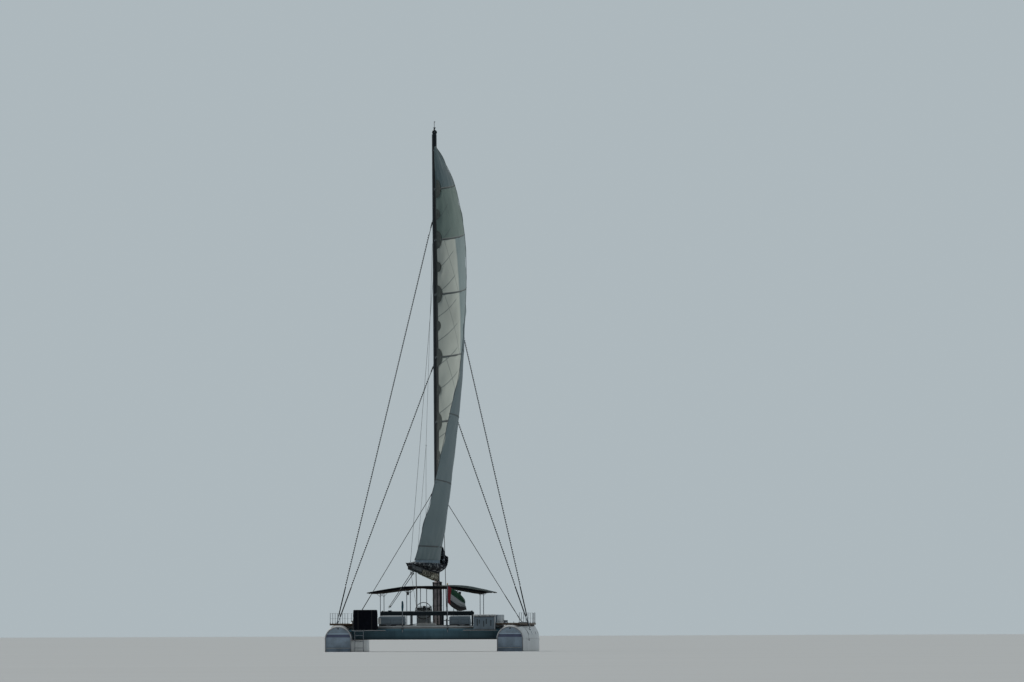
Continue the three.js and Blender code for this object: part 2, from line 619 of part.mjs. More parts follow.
function steeringWheel() {
  const { y, z, radius, rim, hub: hubRadius, hubAft, spokes, spoke } = HELM;
  const hoop = new THREE.TorusGeometry(radius, rim, 6, 24).rotateX(90 * DEG);
  const hub = rod(new THREE.Vector3(0, -hubAft, 0), new THREE.Vector3(0, CONSOLE.y0 - y - SEAT, 0),
    hubRadius, 12);
  const arms = [];
  for (let index = 0; index < spokes; index += 1) {
    const angle = (index * 360 * DEG) / spokes;
    arms.push(rod(new THREE.Vector3(0, 0, 0),
      new THREE.Vector3(radius * Math.cos(angle), 0, radius * Math.sin(angle)), spoke, 8));
  }
  return join([hoop, hub, ...arms]).translate(CONSOLE.x, y, z);
}

// The canopy's underside at a distance x from the centreline, at y
function canopyUnder(x, y) {
  const next = Math.max(CANOPY_SECTION.findIndex((point) => point.x >= x), 1);
  const high = CANOPY_SECTION[next];
  const low = CANOPY_SECTION[next - 1];
  const across = (x - low.x) / (high.x - low.x);
  const middle = (CANOPY.y0 + CANOPY.y1) / 2;
  const share = (y - middle) / (CANOPY.y1 - middle);
  const rise = low.rise + (high.rise - low.rise) * across;
  return low.z + (high.z - low.z) * across + rise * (1 - share * share);
}

function buildCanopy() {
  const xs = CANOPY_SECTION.map(({ x }) => x);
  const stations = [];
  for (let step = 0; step <= CANOPY_STATIONS; step += 1) {
    stations.push(CANOPY.y0 + ((CANOPY.y1 - CANOPY.y0) * step) / CANOPY_STATIONS);
  }
  const grid = stations.map((y) => xs.map((x) => ({
    point: new THREE.Vector3(x, y, canopyUnder(x, y) + CANOPY.thick / 2),
    normal: new THREE.Vector3(0, 0, 1),
  })));
  add('canopy', sheet(grid, CANOPY.thick), 'canopy');
  const lowered = grid.map((row) => row.map(({ point, normal }) => ({
    point: point.clone().setZ(point.z - SEAT), normal,
  })));
  const grownCanopy = sheet(lowered, CANOPY.thick);

  for (const { name, y, posts: postXs } of FRAMES) {
    const joints = xs.map((x) => new THREE.Vector3(x * FRAME_REACH, y, Math.min(
      canopyUnder(x, y - FRAME_RADIUS), canopyUnder(x, y + FRAME_RADIUS),
    ) - FRAME_DROP));
    const tubes = joints.slice(1).map((joint, index) => {
      const lap = new THREE.Vector3().subVectors(joint, joints[index]).setLength(TUBE_LAP);
      return rod(joints[index].clone().sub(lap), joint.clone().add(lap), FRAME_RADIUS, 8);
    });
    const posts = postXs.map((x) => vertical(
      x, y, DECK_Z + SEAT, canopyUnder(x, y) - FRAME_DROP - 6, FRAME_RADIUS * 0.9, 8,
    ));
    const lamps = name === 'forward' ? SIDES.map(({ side }) => {
      const x = side * LAMP.x;
      const top = canopyUnder(x, y) - FRAME_DROP;
      return block(x - LAMP.size / 2, x + LAMP.size / 2, y - 60, y + 60, top - LAMP.drop, top);
    }) : [];
    add(`canopy_frame_${name}`, cut(join([...tubes, ...posts, ...lamps]), [grownCanopy]), 'steel');
  }
}

// The rig stands in its own frame, turned aft by the rake about the mast's foot.
const RIG = new THREE.Matrix4().makeTranslation(MAST_FOOT.x, MAST_FOOT.y, MAST_FOOT.z)
  .multiply(new THREE.Matrix4().makeRotationX(RAKE));
const RIG_UP = new THREE.Vector3(0, -Math.sin(RAKE), Math.cos(RAKE));
const MAST_LENGTH = (MAST_TOP_Z - MAST_FOOT.z) / Math.cos(RAKE);
const PIVOT_UP = (PIVOT_Z - MAST_FOOT.z + PIVOT_BACK * Math.sin(RAKE)) / Math.cos(RAKE);
const PIVOT = new THREE.Vector3(0, -PIVOT_BACK, PIVOT_UP).applyMatrix4(RIG);

// A point on the boom's hinge line at a height above the water
function hingeLine(z) {
  return PIVOT.clone().addScaledVector(RIG_UP, (z - PIVOT.z) / RIG_UP.z);
}

function oval(halfX, halfY, steps = MAST_STEPS) {
  const points = [];
  for (let step = 0; step < steps; step += 1) {
    const angle = (step / steps) * 360 * DEG;
    points.push([halfX * Math.cos(angle), halfY * Math.sin(angle)]);
  }
  return points;
}

// A box with rounded corners in plan
function roundedPlan(halfX, halfY, radius, steps = 3) {
  const points = [];
  [[1, 1, 0], [-1, 1, 90], [-1, -1, 180], [1, -1, 270]].forEach(([sx, sy, start]) => {
    for (let step = 0; step <= steps; step += 1) {
      const angle = (start + (step / steps) * 90) * DEG;
      points.push([
        sx * (halfX - radius) + radius * Math.cos(angle),
        sy * (halfY - radius) + radius * Math.sin(angle),
      ]);
    }
  });
  return points;
}

function mastBlank(grow, base) {
  return prismZ(oval(MAST_HALF.x + grow, MAST_HALF.y + grow), base, MAST_LENGTH).applyMatrix4(RIG);
}

const BELOW_DECK = block(-900, 900, -200, 2500, 0, DECK_Z + SEAT);
const GROWN_MAST = mastBlank(SEAT, -200);

function buildMast() {
  add('mast', cut(mastBlank(0, -100), [BELOW_DECK]), 'spar');
  const casingTop = (CASING.top - MAST_FOOT.z) / Math.cos(RAKE);
  const casing = prismZ(roundedPlan(CASING.x, CASING.y, 120), -100, casingTop).applyMatrix4(RIG);
  add('mast_casing', cut(casing, [BELOW_DECK, GROWN_MAST]), 'casing');

  const top = MAST_LENGTH + SEAT;
  const crane = prismX(CRANE_OUTLINE.map(([y, z]) => [y, top + z]), -CRANE_HALF, CRANE_HALF);
  const vane = vertical(VANE.x, VANE.y, top + 100, top + VANE.top, VANE.radius, 8);
  const arm = rod(new THREE.Vector3(VANE.x, VANE.armY0, top + VANE.armZ),
    new THREE.Vector3(VANE.x, VANE.armY1, top + VANE.armZ), VANE.armRadius, 6);
  add('masthead', join([crane, vane, arm]).applyMatrix4(RIG), 'spar');

  const neck = GOOSENECK;
  const plate = block(-neck.plateHalf, neck.plateHalf, -(MAST_HALF.y + neck.plateDeep), -MAST_HALF.y + 80,
    PIVOT_UP - neck.plateHigh, PIVOT_UP + neck.plateHigh);
  const ears = [-1, 1].map((end) => {
    const inner = PIVOT_UP + end * neck.earInner;
    const outer = PIVOT_UP + end * neck.earOuter;
    return block(-neck.earHalf, neck.earHalf, -(PIVOT_BACK + neck.earPast), -(MAST_HALF.y + neck.earHalf),
      Math.min(inner, outer), Math.max(inner, outer));
  });
  const pin = vertical(0, -PIVOT_BACK, PIVOT_UP - neck.earOuter, PIVOT_UP + neck.earOuter, PIN_RADIUS, 24);
  const bracket = join([plate, ...ears, pin]).applyMatrix4(RIG);
  add('gooseneck', cut(bracket, [GROWN_MAST]), 'steel');
}

// Stays are cut off clear of the mast and of the plate or deck that they end on.
function buildStays() {
  const mastAt = (z) => MAST_FOOT.clone().addScaledVector(RIG_UP, (z - MAST_FOOT.z) / RIG_UP.z);
  const footCut = (x, y, z) => block(x - 300, x + 300, y - 300, y + 300, z - 600, z + SEAT);
  for (const { side, name } of SIDES) {
    const stays = [
      { label: 'cap_shroud', z: CAP_Z, foot: [side * CHAIN_X, -3420, CHAINPLATE.z1] },
      { label: 'inner_shroud', z: INNER_Z, foot: [side * CHAIN_X, -3310, CHAINPLATE.z1] },
      { label: 'lower_shroud', z: LOWER_Z, foot: [side * LOWER_FOOT.x, LOWER_FOOT.y, SIDE_DECK_TOP] },
    ];
    for (const { label, z, foot } of stays) {
      const end = new THREE.Vector3(...foot);
      const start = mastAt(z);
      const past = end.clone().addScaledVector(end.clone().sub(start).normalize(), STAY_PAST);
      const wire = rod(start, past, WIRE, 8);
      add(`${label}_${name}`, cut(wire, [GROWN_MAST, footCut(...foot)]), 'rope');
    }
  }
  const tack = new THREE.Vector3(0, FOREBEAM.y, STRIKER_TOP);
  const above = mastAt(CAP_Z);
  const past = tack.clone().addScaledVector(tack.clone().sub(above).normalize(), STAY_PAST);
  add('forestay', cut(rod(above, past, WIRE, 8), [GROWN_MAST, footCut(0, FOREBEAM.y, STRIKER_TOP)]), 'rope');
}

// The boom's own axes: D aft along it, V to starboard, W up
const D = new THREE.Vector3(
  Math.sin(BOOM_YAW) * Math.cos(BOOM_RISE), -Math.cos(BOOM_YAW) * Math.cos(BOOM_RISE), Math.sin(BOOM_RISE),
);
const V = new THREE.Vector3(Math.cos(BOOM_YAW), Math.sin(BOOM_YAW), 0);
const W = new THREE.Vector3().crossVectors(D, V).normalize();

function onBoom(u, v, w) {
  return PIVOT.clone().addScaledVector(D, u).addScaledVector(V, v).addScaledVector(W, w);
}

function camberShape(t) {
  return 4 * t * (1 - t) * (1.25 - 0.5 * t);
}

function sailPoint(row, t) {
  const angle = row.angle * DEG;
  const aft = new THREE.Vector3(Math.sin(angle), -Math.cos(angle), 0);
  const lee = new THREE.Vector3(Math.cos(angle), Math.sin(angle), 0);
  const rise = BATTEN_RISE * row.chord * t * Math.min(1, (row.z - SAIL_ROWS[0].z) / BATTEN_RISE_SPAN);
  return hingeLine(row.z)
    .add(new THREE.Vector3(0, LUFF_FORWARD, rise))
    .addScaledVector(aft, row.chord * t)
    .addScaledVector(lee, row.chord * row.camber * camberShape(t));
}

function buildSail() {
  const grid = SAIL_ROWS.map((row) => {
    const points = [];
    for (let column = 0; column < SAIL_COLUMNS; column += 1) {
      const t = column / (SAIL_COLUMNS - 1);
      const step = 0.02;
      const before = sailPoint(row, Math.max(t - step, 0));
      const after = sailPoint(row, Math.min(t + step, 1));
      const along = after.sub(before).setZ(0).normalize();
      points.push({ point: sailPoint(row, t), normal: new THREE.Vector3(-along.y, along.x, 0) });
    }
    return points;
  });
  const clew = sailPoint(SAIL_ROWS[0], 0.985).add(new THREE.Vector3(0, 0, 30));
  const strap = rod(clew, onBoom(CLEW_STRAP.u, CLEW_STRAP.v, 0), CLEW_STRAP.radius, 8);
  for (const { name, from, to } of SAIL_PANELS) {
    const [lowest, ...rows] = grid.slice(from, to + 1);
    const gap = new THREE.Vector3(0, 0, from === 0 ? 0 : SEAT);
    const raised = lowest.map(({ point, normal }) => ({ point: point.clone().add(gap), normal }));
    const cloth = sheet([raised, ...rows], SAIL_THICK);
    const panel = from === 0 ? cut(join([cloth, strap]), [grownBoom()]) : cloth;
    add(`mainsail_${name}`, panel, 'sail');
  }
}

// The boom's tube with clearance all round, for cutting what rests on it
function grownBoom() {
  const toBoom = new THREE.Matrix4().makeBasis(V, W, D).setPosition(onBoom(BOOM.start, 0, 0));
  return prism(roundedPlan(BOOM.half + SEAT, BOOM.high + SEAT, BOOM.round), BOOM.length).applyMatrix4(toBoom);
}

function buildBoom() {
  const toBoom = new THREE.Matrix4().makeBasis(V, W, D).setPosition(onBoom(BOOM.start, 0, 0));
  const tube = prism(roundedPlan(BOOM.half, BOOM.high, BOOM.round), BOOM.length - BOOM.start)
    .applyMatrix4(toBoom);
  const hinge = new THREE.Matrix4().makeTranslation(PIVOT.x, PIVOT.y, PIVOT.z)
    .multiply(new THREE.Matrix4().makeRotationX(RAKE))
    .multiply(new THREE.Matrix4().makeRotationZ(BOOM_YAW));
  const nose = vertical(0, 0, -BOOM.tab, BOOM.tab, BOOM.noseRadius, 16);
  const tongue = block(-BOOM.tongue, BOOM.tongue, -(BOOM.start + 40), 0, -BOOM.tab, BOOM.tab);
  const tab = join([nose, tongue]);
  const bore = vertical(0, 0, -BOOM.tab - 20, BOOM.tab + 20, PIN_BORE, 24);
  add('boom', join([tube, cut(tab, [bore]).applyMatrix4(hinge)]), 'spar');

  const base = BOOM.high + SEAT;
  const body = loft(BAG_SECTIONS.map(({ u, left, right, top }) => {
    const up = (share) => BOOM.high + (top - BOOM.high) * share;
    const { low, side, high } = BAG_SHARES;
    return [
      [-120, base], [-left * 0.8, up(low)], [-left, up(side)], [-left * 0.8, up(high)], [-60, top],
      [60, top], [right * 0.8, up(high)], [right, up(side)], [right * 0.8, up(low)], [120, base],
    ].map(([v, w]) => onBoom(u, v, w));
  }));
  const foot = SAIL_ROWS[1];
  const horn = loft(BAG_HORN.map(({ u, wide, top }) => {
    const lean = u * Math.sin(foot.angle * DEG - BOOM_YAW);
    const inner = lean + foot.chord * foot.camber * camberShape(u / foot.chord) + HORN.gap;
    const up = (share) => HORN.base + (top - HORN.base) * share;
    return [
      [inner, HORN.base], [inner, up(HORN.inner)], [inner + HORN.tip * wide, top],
      [inner + HORN.shoulder * wide, up(HORN.shoulderRise)], [inner + wide, HORN.base],
    ].map(([v, w]) => onBoom(u, v, w));
  }));
  add('sail_bag', join([body, horn]), 'canvas');
}

function buildSheets() {
  const { headHalf, tailHalf, deep, strap: half } = SHEET;
  const upper = onBoom(SHEET.u, SHEET.v, -BOOM.high - SEAT);
  const lower = new THREE.Vector3(TRAVELLER.car, TRAVELLER.y, TRAVELLER.carTop + SHEET.tailRise);
  const head = block(upper.x - headHalf, upper.x + headHalf, upper.y - deep, upper.y + deep,
    upper.z - SHEET.headDeep, upper.z - SHEET.headTop);
  const tail = block(lower.x - tailHalf, lower.x + tailHalf, lower.y - deep, lower.y + deep,
    lower.z, lower.z + SHEET.tailHigh);
  const lines = [-SHEET.lineGap, SHEET.lineGap].map((offset) => rod(
    new THREE.Vector3(upper.x + offset, upper.y, upper.z - SHEET.headDeep / 2),
    new THREE.Vector3(lower.x + offset, lower.y, lower.z + SHEET.tailHigh / 2), SHEET.lineRadius, 8,
  ));
  const strap = block(upper.x - half, upper.x + half, upper.y - half, upper.y + half,
    upper.z - SHEET.strapReach, upper.z + SHEET.strapReach);
  add('mainsheet', cut(join([head, tail, strap, ...lines]), [grownBoom()]), 'rope');

  const liftTop = hingeLine(LIFT.z).add(new THREE.Vector3(LIFT.x, 0, 0));
  const liftFoot = onBoom(LIFT.u, 0, BOOM.high - LIFT.deep);
  add('topping_lift', cut(rod(liftFoot, liftTop, LIFT.radius, 6), [grownBoom()]), 'rope');
}

function buildStaffs() {
  const { x, y, radius, z0 } = STAFF;
  const pole = vertical(x, y, z0, FLAG_STAFF_TOP, radius);
  const truck = new THREE.SphereGeometry(STAFF.truck, 10, 6).rotateX(90 * DEG).translate(x, y, FLAG_STAFF_TOP);
  add('flagstaff', join([pole, truck]), 'steel');
  const staff = vertical(-x, y, z0, PORT_STAFF.top - 100, radius);
  const furled = vertical(-x, y, PORT_STAFF.sleeveFrom, PORT_STAFF.top, PORT_STAFF.sleeveRadius, 10);
  add('port_staff', join([staff, furled]), 'teal');
  const grid = [0, 0.5, 1].map((t) => FLAG_COLUMNS.map(({ top, bottom, wave }) => ({
    point: new THREE.Vector3(
      top[0] + (bottom[0] - top[0]) * t, y + wave * (0.4 + 0.6 * t), top[1] + (bottom[1] - top[1]) * t,
    ),
    normal: new THREE.Vector3(0, 1, 0),
  })));
  add('flag', sheet(grid, FLAG_THICK), 'flag');
}

function buildLadder() {
  const { x0, x1, hingeY, hingeZ, bottom, tube, treads } = LADDER;
  const rails = [x0, x1].map((x) => rod(
    new THREE.Vector3(x, hingeY, hingeZ), new THREE.Vector3(x, hingeY, bottom), tube,
  ));
  const pivot = rod(new THREE.Vector3(x0 - 60, hingeY, hingeZ),
    new THREE.Vector3(x1 + 60, hingeY, hingeZ), tube);
  const steps = [];
  for (let index = 0; index < treads; index += 1) {
    const z = bottom + 60 + (index * (hingeZ - bottom - 300)) / (treads - 1);
    steps.push(block(x0, x1, hingeY - 35, hingeY + 14, z - 12, z + 12));
  }
  add('swim_ladder', join([...rails, pivot, ...steps]), 'steel');
}

function buildRails() {
  for (const { side, name } of SIDES) {
    const pieces = RAIL_POSTS.map(({ y, dx }) => vertical(
      side * (HULL_X + dx), y, SIDE_DECK_TOP + SEAT, RAIL_HEIGHTS[1] + 10, POST_RADIUS, 8,
    ));
    for (const z of RAIL_HEIGHTS) {
      RAIL_POSTS.slice(1).forEach(({ y, dx }, index) => {
        const from = RAIL_POSTS[index];
        pieces.push(rod(new THREE.Vector3(side * (HULL_X + from.dx), from.y, z),
          new THREE.Vector3(side * (HULL_X + dx), y, z), RAIL_WIRE, 6));
      });
    }
    add(`guard_rail_${name}`, join(pieces), 'steel');
  }
}

buildHulls();
buildFoils();
buildBridge();
buildForward();
buildFurniture();
buildCanopy();
buildMast();
buildStays();
buildSail();
buildBoom();
buildSheets();
buildStaffs();
buildLadder();
buildRails();

export default catamaran;
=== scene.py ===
import math

import bpy
from bpy.props import FloatProperty, FloatVectorProperty, IntProperty, PointerProperty
from mathutils import Matrix, Vector, noise


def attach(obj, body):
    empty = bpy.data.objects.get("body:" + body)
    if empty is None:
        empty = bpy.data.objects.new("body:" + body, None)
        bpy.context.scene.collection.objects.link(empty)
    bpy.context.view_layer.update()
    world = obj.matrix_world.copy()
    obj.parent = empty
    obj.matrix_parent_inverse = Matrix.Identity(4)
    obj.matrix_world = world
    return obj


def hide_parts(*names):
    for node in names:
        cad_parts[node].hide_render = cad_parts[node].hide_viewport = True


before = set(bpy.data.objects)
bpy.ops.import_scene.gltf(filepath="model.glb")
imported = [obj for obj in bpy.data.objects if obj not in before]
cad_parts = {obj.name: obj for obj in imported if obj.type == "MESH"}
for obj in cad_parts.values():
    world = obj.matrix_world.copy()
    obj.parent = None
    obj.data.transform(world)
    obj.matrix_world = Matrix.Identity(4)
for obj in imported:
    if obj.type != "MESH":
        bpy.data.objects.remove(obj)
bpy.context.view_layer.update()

bl_info = {
    "name": "Sailing catamaran dressing",
    "version": (1, 0, 0),
    "blender": (4, 5, 0),
    "location": "View3D > Sidebar > Catamaran",
    "description": "Hulls, deck gear, rig, sails, canvas and finishes of a day sailing catamaran",
    "category": "Object",
}

# Metres, +X starboard, +Y forward, +Z up, with the waterline at Z = 0.
SIDES = {"port": -1, "starboard": 1}

HULL_X = 5.03
SHOULDER_Z = 0.75
BILGE_Z = -0.06
HULL_DECK_Z = 1.55
SIDE_DECK_TOP = 1.66
DECK_Z = 1.5
HULL_STATIONS = {
    "y": (-11.25, -11.0, -10.5, -8.0, -4.0, 0.0, 4.0, 7.0, 9.2, 10.5, 11.1, 11.25),
    "half": (0.77, 0.78, 0.8, 0.84, 0.86, 0.86, 0.78, 0.6, 0.38, 0.19, 0.08, 0.036),
    "keel": (-0.3, -0.36, -0.46, -0.7, -0.86, -0.9, -0.85, -0.72, -0.52, -0.3, -0.12, -0.03),
    "crown": (1.47, 1.53, 1.6, 1.62, 1.62, 1.62, 1.63, 1.64, 1.65, 1.65, 1.65, 1.65),
}

RAKE = math.radians(3)
MAST_FOOT = Vector((0, 1.15, DECK_Z))
MAST_HALF = (0.14, 0.23)
MAST_LENGTH = (30.42 - DECK_Z) / math.cos(RAKE)
RIG_UP = Vector((0, -math.sin(RAKE), math.cos(RAKE)))
PIVOT = Vector((0, 0.63752, 4.4))
BOOM_YAW = math.radians(-6.5)
BOOM_RISE = math.radians(3.75)
BOOM_D = Vector((
    math.sin(BOOM_YAW) * math.cos(BOOM_RISE),
    -math.cos(BOOM_YAW) * math.cos(BOOM_RISE),
    math.sin(BOOM_RISE),
))
BOOM_V = Vector((math.cos(BOOM_YAW), math.sin(BOOM_YAW), 0))
BOOM_W = BOOM_D.cross(BOOM_V).normalized()
BOOM_HIGH = 0.19

SAIL_ROWS = {
    "z": (5.37, 6.1, 7.25, 9.0, 10.3, 12.5, 13.9, 15.6, 18.4, 21.4, 24.6, 27.4, 29.0, 29.7),
    "chord": (8.5, 8.4, 8.3, 8.1, 8.0, 7.6, 7.3, 7.0, 6.3, 5.4, 4.2, 2.7, 1.05, 0.26),
    "angle": (-5, -3.5, -1.5, 2.3, 4.5, 8.2, 10.8, 14.6, 19, 23.6, 27.7, 29, 29.5, 29.5),
    "camber": (0.07, 0.08, 0.098, 0.106, 0.112, 0.124, 0.128, 0.121, 0.12, 0.115, 0.1, 0.085, 0.06, 0.02),
}
BATTEN_ZS = (6.1, 9.6, 13.5, 17.3, 21.0, 24.2, 27.2)
LUFF_FORWARD = 0.055

CANOPY = {"y0": -6.2, "y1": -1.5}
FRAME_YS = (-5.45, -2.25)
TRAVELLER_Y = -8.3
STAFF_X = 1.32
STAFF_Y = -10.2723
CANOPY_SECTION = {
    "x": (-3.67, -2.93, -2.15, -1.38, -0.7, 0, 0.7, 1.38, 2.15, 2.93, 3.67),
    "z": (3.41, 3.545, 3.67, 3.765, 3.785, 3.79, 3.785, 3.765, 3.67, 3.545, 3.415),
    "rise": (0.02, 0.022, 0.024, 0.026, 0.028, 0.042, 0.086, 0.129, 0.149, 0.136, 0.06),
}
CANOPY_HALF = 3.67
CANOPY_HEM = {
    "x": (-3.67, -3.2, -2.93, -2.41, -1.75, -1.36, -0.97, -0.75, -0.45, 0.13, 1.0, 1.6, 2.1, 2.64, 3.03, 3.42, 3.67),
    "drop": (0.03, 0.16, 0.2, 0.24, 0.25, 0.25, 0.2, 0.14, 0.14, 0.2, 0.17, 0.2, 0.23, 0.245, 0.22, 0.09, 0.03),
}
CHAINPLATE_Z = 1.32
TANG_ZS = (9.5, 16.8, 25.3)


# Finishes

class Value:
    """A number that varies over a surface. Arithmetic on it adds Math nodes."""

    def __init__(self, finish, socket):
        self.finish = finish
        self.socket = socket

    def __add__(self, other):
        return self.finish.math("ADD", self, other)

    __radd__ = __add__

    def __sub__(self, other):
        return self.finish.math("SUBTRACT", self, other)

    def __rsub__(self, other):
        return self.finish.math("SUBTRACT", other, self)

    def __mul__(self, other):
        return self.finish.math("MULTIPLY", self, other)

    __rmul__ = __mul__


class Finish:
    """One surface finish: a Principled shader and the nodes that vary it."""

    def __init__(self, name, color, roughness, metallic=0.0, fixed=None):
        self.material = bpy.data.materials.new(name)
        self.material.use_nodes = True
        self.material.diffuse_color = (*color, 1)
        self.tree = self.material.node_tree
        self.shader = self.tree.nodes["Principled BSDF"]
        self.color = color
        constants = {"Base Color": color, "Roughness": roughness, "Metallic": metallic, **(fixed or {})}
        for label, value in constants.items():
            self.feed(self.shader.inputs[label], value)

    def feed(self, socket, value):
        if isinstance(value, Value):
            self.tree.links.new(value.socket, socket)
        elif isinstance(value, tuple) and len(value) == 3 and socket.type == "RGBA":
            socket.default_value = (*value, 1)
        else:
            socket.default_value = value

    def node(self, kind, settings=None, inputs=None, output=0):
        made = self.tree.nodes.new(kind)
        for key, value in (settings or {}).items():
            setattr(made, key, value)
        for key, value in (inputs or {}).items():
            self.feed(made.inputs[key], value)
        return Value(self, made.outputs[output])

    def math(self, operation, *terms):
        return self.node("ShaderNodeMath", {"operation": operation}, dict(enumerate(terms)))

    def place(self, source="Object"):
        return self.node("ShaderNodeTexCoord", output=source)

    def axes(self, source="Object"):
        split = self.tree.nodes.new("ShaderNodeSeparateXYZ")
        self.feed(split.inputs[0], self.place(source))
        return [Value(self, output) for output in split.outputs]

    def noise(self, scale, detail=3.0, stretch=(1, 1, 1), source="Object", rough=0.5):
        spread = self.node(
            "ShaderNodeVectorMath", {"operation": "MULTIPLY"}, {0: self.place(source), 1: stretch},
        )
        return self.node(
            "ShaderNodeTexNoise", None,
            {"Vector": spread, "Scale": scale, "Detail": detail, "Roughness": rough},
        )

    def step(self, value, low, high):
        """0 below low and 1 above high, with a smooth rise between."""
        return self.node(
            "ShaderNodeMapRange", {"interpolation_type": "SMOOTHSTEP"},
            {"Value": value, 1: low, 2: high, 3: 0.0, 4: 1.0},
        )

    def lines(self, value, period, width, soft):
        """1 on lines that repeat at each multiple of period, 0 between them."""
        away = self.math("PINGPONG", value, period / 2)
        return 1 - self.step(away, width / 2, width / 2 + soft)

    def band(self, value, low, high, soft):
        return self.step(value, low - soft, low) * (1 - self.step(value, high, high + soft))

    def mix(self, low, high, share, blend="MIX"):
        return self.node(
            "ShaderNodeMix", {"data_type": "RGBA", "blend_type": blend},
            {0: share, 6: low, 7: high}, output=2,
        )

    def paint(self, color=None, roughness=None, bump=None, depth=0.002, strength=1.0):
        if color is not None:
            self.feed(self.shader.inputs["Base Color"], color)
        if roughness is not None:
            self.feed(self.shader.inputs["Roughness"], roughness)
        if bump is not None:
            normal = self.node(
                "ShaderNodeBump", None, {"Strength": strength, "Distance": depth, "Height": bump},
            )
            self.feed(self.shader.inputs["Normal"], normal)
        return self.material


def shade(color, factor):
    """A colour made darker or lighter, held under 1."""
    return tuple(min(1.0, channel * factor) for channel in color)


def gelcoat_finish(color, underwater):
    """White hull paint: rain streaks, scum at the waterline and dark antifouling under it."""
    finish = Finish("hull_gelcoat", color, 0.3, fixed={"Coat Weight": 0.25, "Coat Roughness": 0.15})
    _, _, z = finish.axes()
    cloud = finish.noise(0.45, 4)
    streak = finish.noise(2.6, 5, stretch=(1, 1, 0.1))
    chalk = finish.mix(color, shade(color, 0.86), finish.step(cloud, 0.35, 0.7))
    run = finish.step(streak, 0.52, 0.72) * (1 - finish.step(z, 0.3, 1.6))
    soiled = finish.mix(chalk, (0.44, 0.45, 0.4), run * 0.35)
    scum = (1 - finish.step(z, 0.03, 0.22)) * finish.step(finish.noise(5.0, 4), 0.3, 0.65)
    marked = finish.mix(soiled, (0.3, 0.32, 0.24), scum * 0.55)
    below = 1 - finish.step(z, 0.0, 0.012)
    patch = finish.mix(underwater, shade(underwater, 1.9), finish.step(finish.noise(1.3, 6), 0.45, 0.75))
    whole = finish.mix(marked, patch, below)
    rough = 0.26 + 0.16 * cloud + 0.45 * below
    return finish.paint(whole, rough, finish.noise(1.1, 3) + below * finish.noise(60, 2) * 0.4, 0.004, 0.25)


def moulding_finish(name, color):
    """White moulded fittings, a little chalky, with scuffs and settled dust."""
    finish = Finish(name, color, 0.38, fixed={"Coat Weight": 0.15})
    cloud = finish.noise(1.8, 5)
    scuff = finish.step(finish.noise(14, 6, stretch=(1, 1, 0.3)), 0.62, 0.78)
    tone = finish.mix(color, shade(color, 0.8), finish.step(cloud, 0.4, 0.75))
    return finish.paint(
        finish.mix(tone, shade(color, 0.55), scuff * 0.4), 0.32 + 0.2 * cloud + 0.15 * scuff,
        finish.noise(5, 3), 0.002, 0.2,
    )


def bridge_finish(color):
    """Dark teal paint with vertical seams and water runs, paler toward the deck as painted light and darker at the
    bottom as painted shade.
    """
    finish = Finish("bridge_paint", color, 0.5, fixed={"Specular IOR Level": 0.3})
    x, _, z = finish.axes()
    seam = finish.lines(x + 0.35, 1.45, 0.012, 0.01)
    run = finish.step(finish.noise(3.4, 6, stretch=(1, 1, 0.06)), 0.5, 0.75)
    cloud = finish.noise(0.8, 5)
    tone = finish.mix(color, shade(color, 0.72), finish.step(cloud, 0.35, 0.7))
    runs = finish.mix(tone, shade(color, 1.55), run * 0.3)
    # Paler toward the deck: painted light.
    pale = finish.mix(runs, shade(color, 2.1), finish.step(z, 1.15, 1.4) * 0.7)
    # Darker at the bottom: painted shade.
    dark = finish.mix(pale, shade(color, 0.3), (1 - finish.step(z, 0.71, 1.0)) * 0.75)
    return finish.paint(
        finish.mix(dark, shade(color, 0.35), seam * 0.5), 0.4 + 0.22 * cloud, cloud * 0.4 - seam, 0.003, 0.5,
    )


def transom_finish(color):
    """Recessed transom face, white gelcoat coloured blue-grey as painted shade: a pale dome, a dark blue band of
    painted shade with a pale line of painted highlight over it, and small spots of dirt.
    """
    finish = Finish("transom_face_in_painted_shade", color, 0.45)
    _, _, z = finish.axes()
    cloud = finish.noise(2.2, 5)
    spots = finish.step(finish.noise(16, 4), 0.6, 0.7)
    tone = finish.mix(color, shade(color, 0.72), finish.step(cloud, 0.35, 0.7))
    spotted = finish.mix(tone, shade(color, 0.3), spots * 0.6)
    # Dark blue band: painted shade under the ledge.
    shade_banded = finish.mix(spotted, (0.09, 0.1, 0.2), finish.band(z, 0.86, 1.0, 0.03) * 0.85)
    # Pale line: painted highlight of a lit step edge.
    lined = finish.mix(shade_banded, shade(color, 1.6), finish.band(z, 1.045, 1.065, 0.012))
    return finish.paint(lined, 0.4 + 0.2 * cloud, finish.noise(6, 3), 0.002, 0.3)


def nonslip_finish(color):
    """Moulded deck with diamond grip in panels, smooth margins between them and trodden dirt."""
    finish = Finish("deck_nonslip", color, 0.62)
    x, y, _ = finish.axes()
    margin_x = finish.lines(x + 0.6, 1.2, 0.07, 0.004)
    margin_y = finish.lines(y + 0.2, 1.6, 0.07, 0.004)
    margin = finish.math("MAXIMUM", margin_x, margin_y)
    grip_a = finish.math("PINGPONG", x + y, 0.011)
    grip_b = finish.math("PINGPONG", x - y, 0.011)
    grip = (grip_a + grip_b) * 45 * (1 - margin)
    dirt = finish.step(finish.noise(1.1, 7), 0.42, 0.75)
    tone = finish.mix(color, shade(color, 0.66), dirt * 0.7)
    return finish.paint(finish.mix(tone, shade(color, 1.12), margin * 0.6), 0.5 + 0.2 * dirt, grip, 0.0015, 0.6)


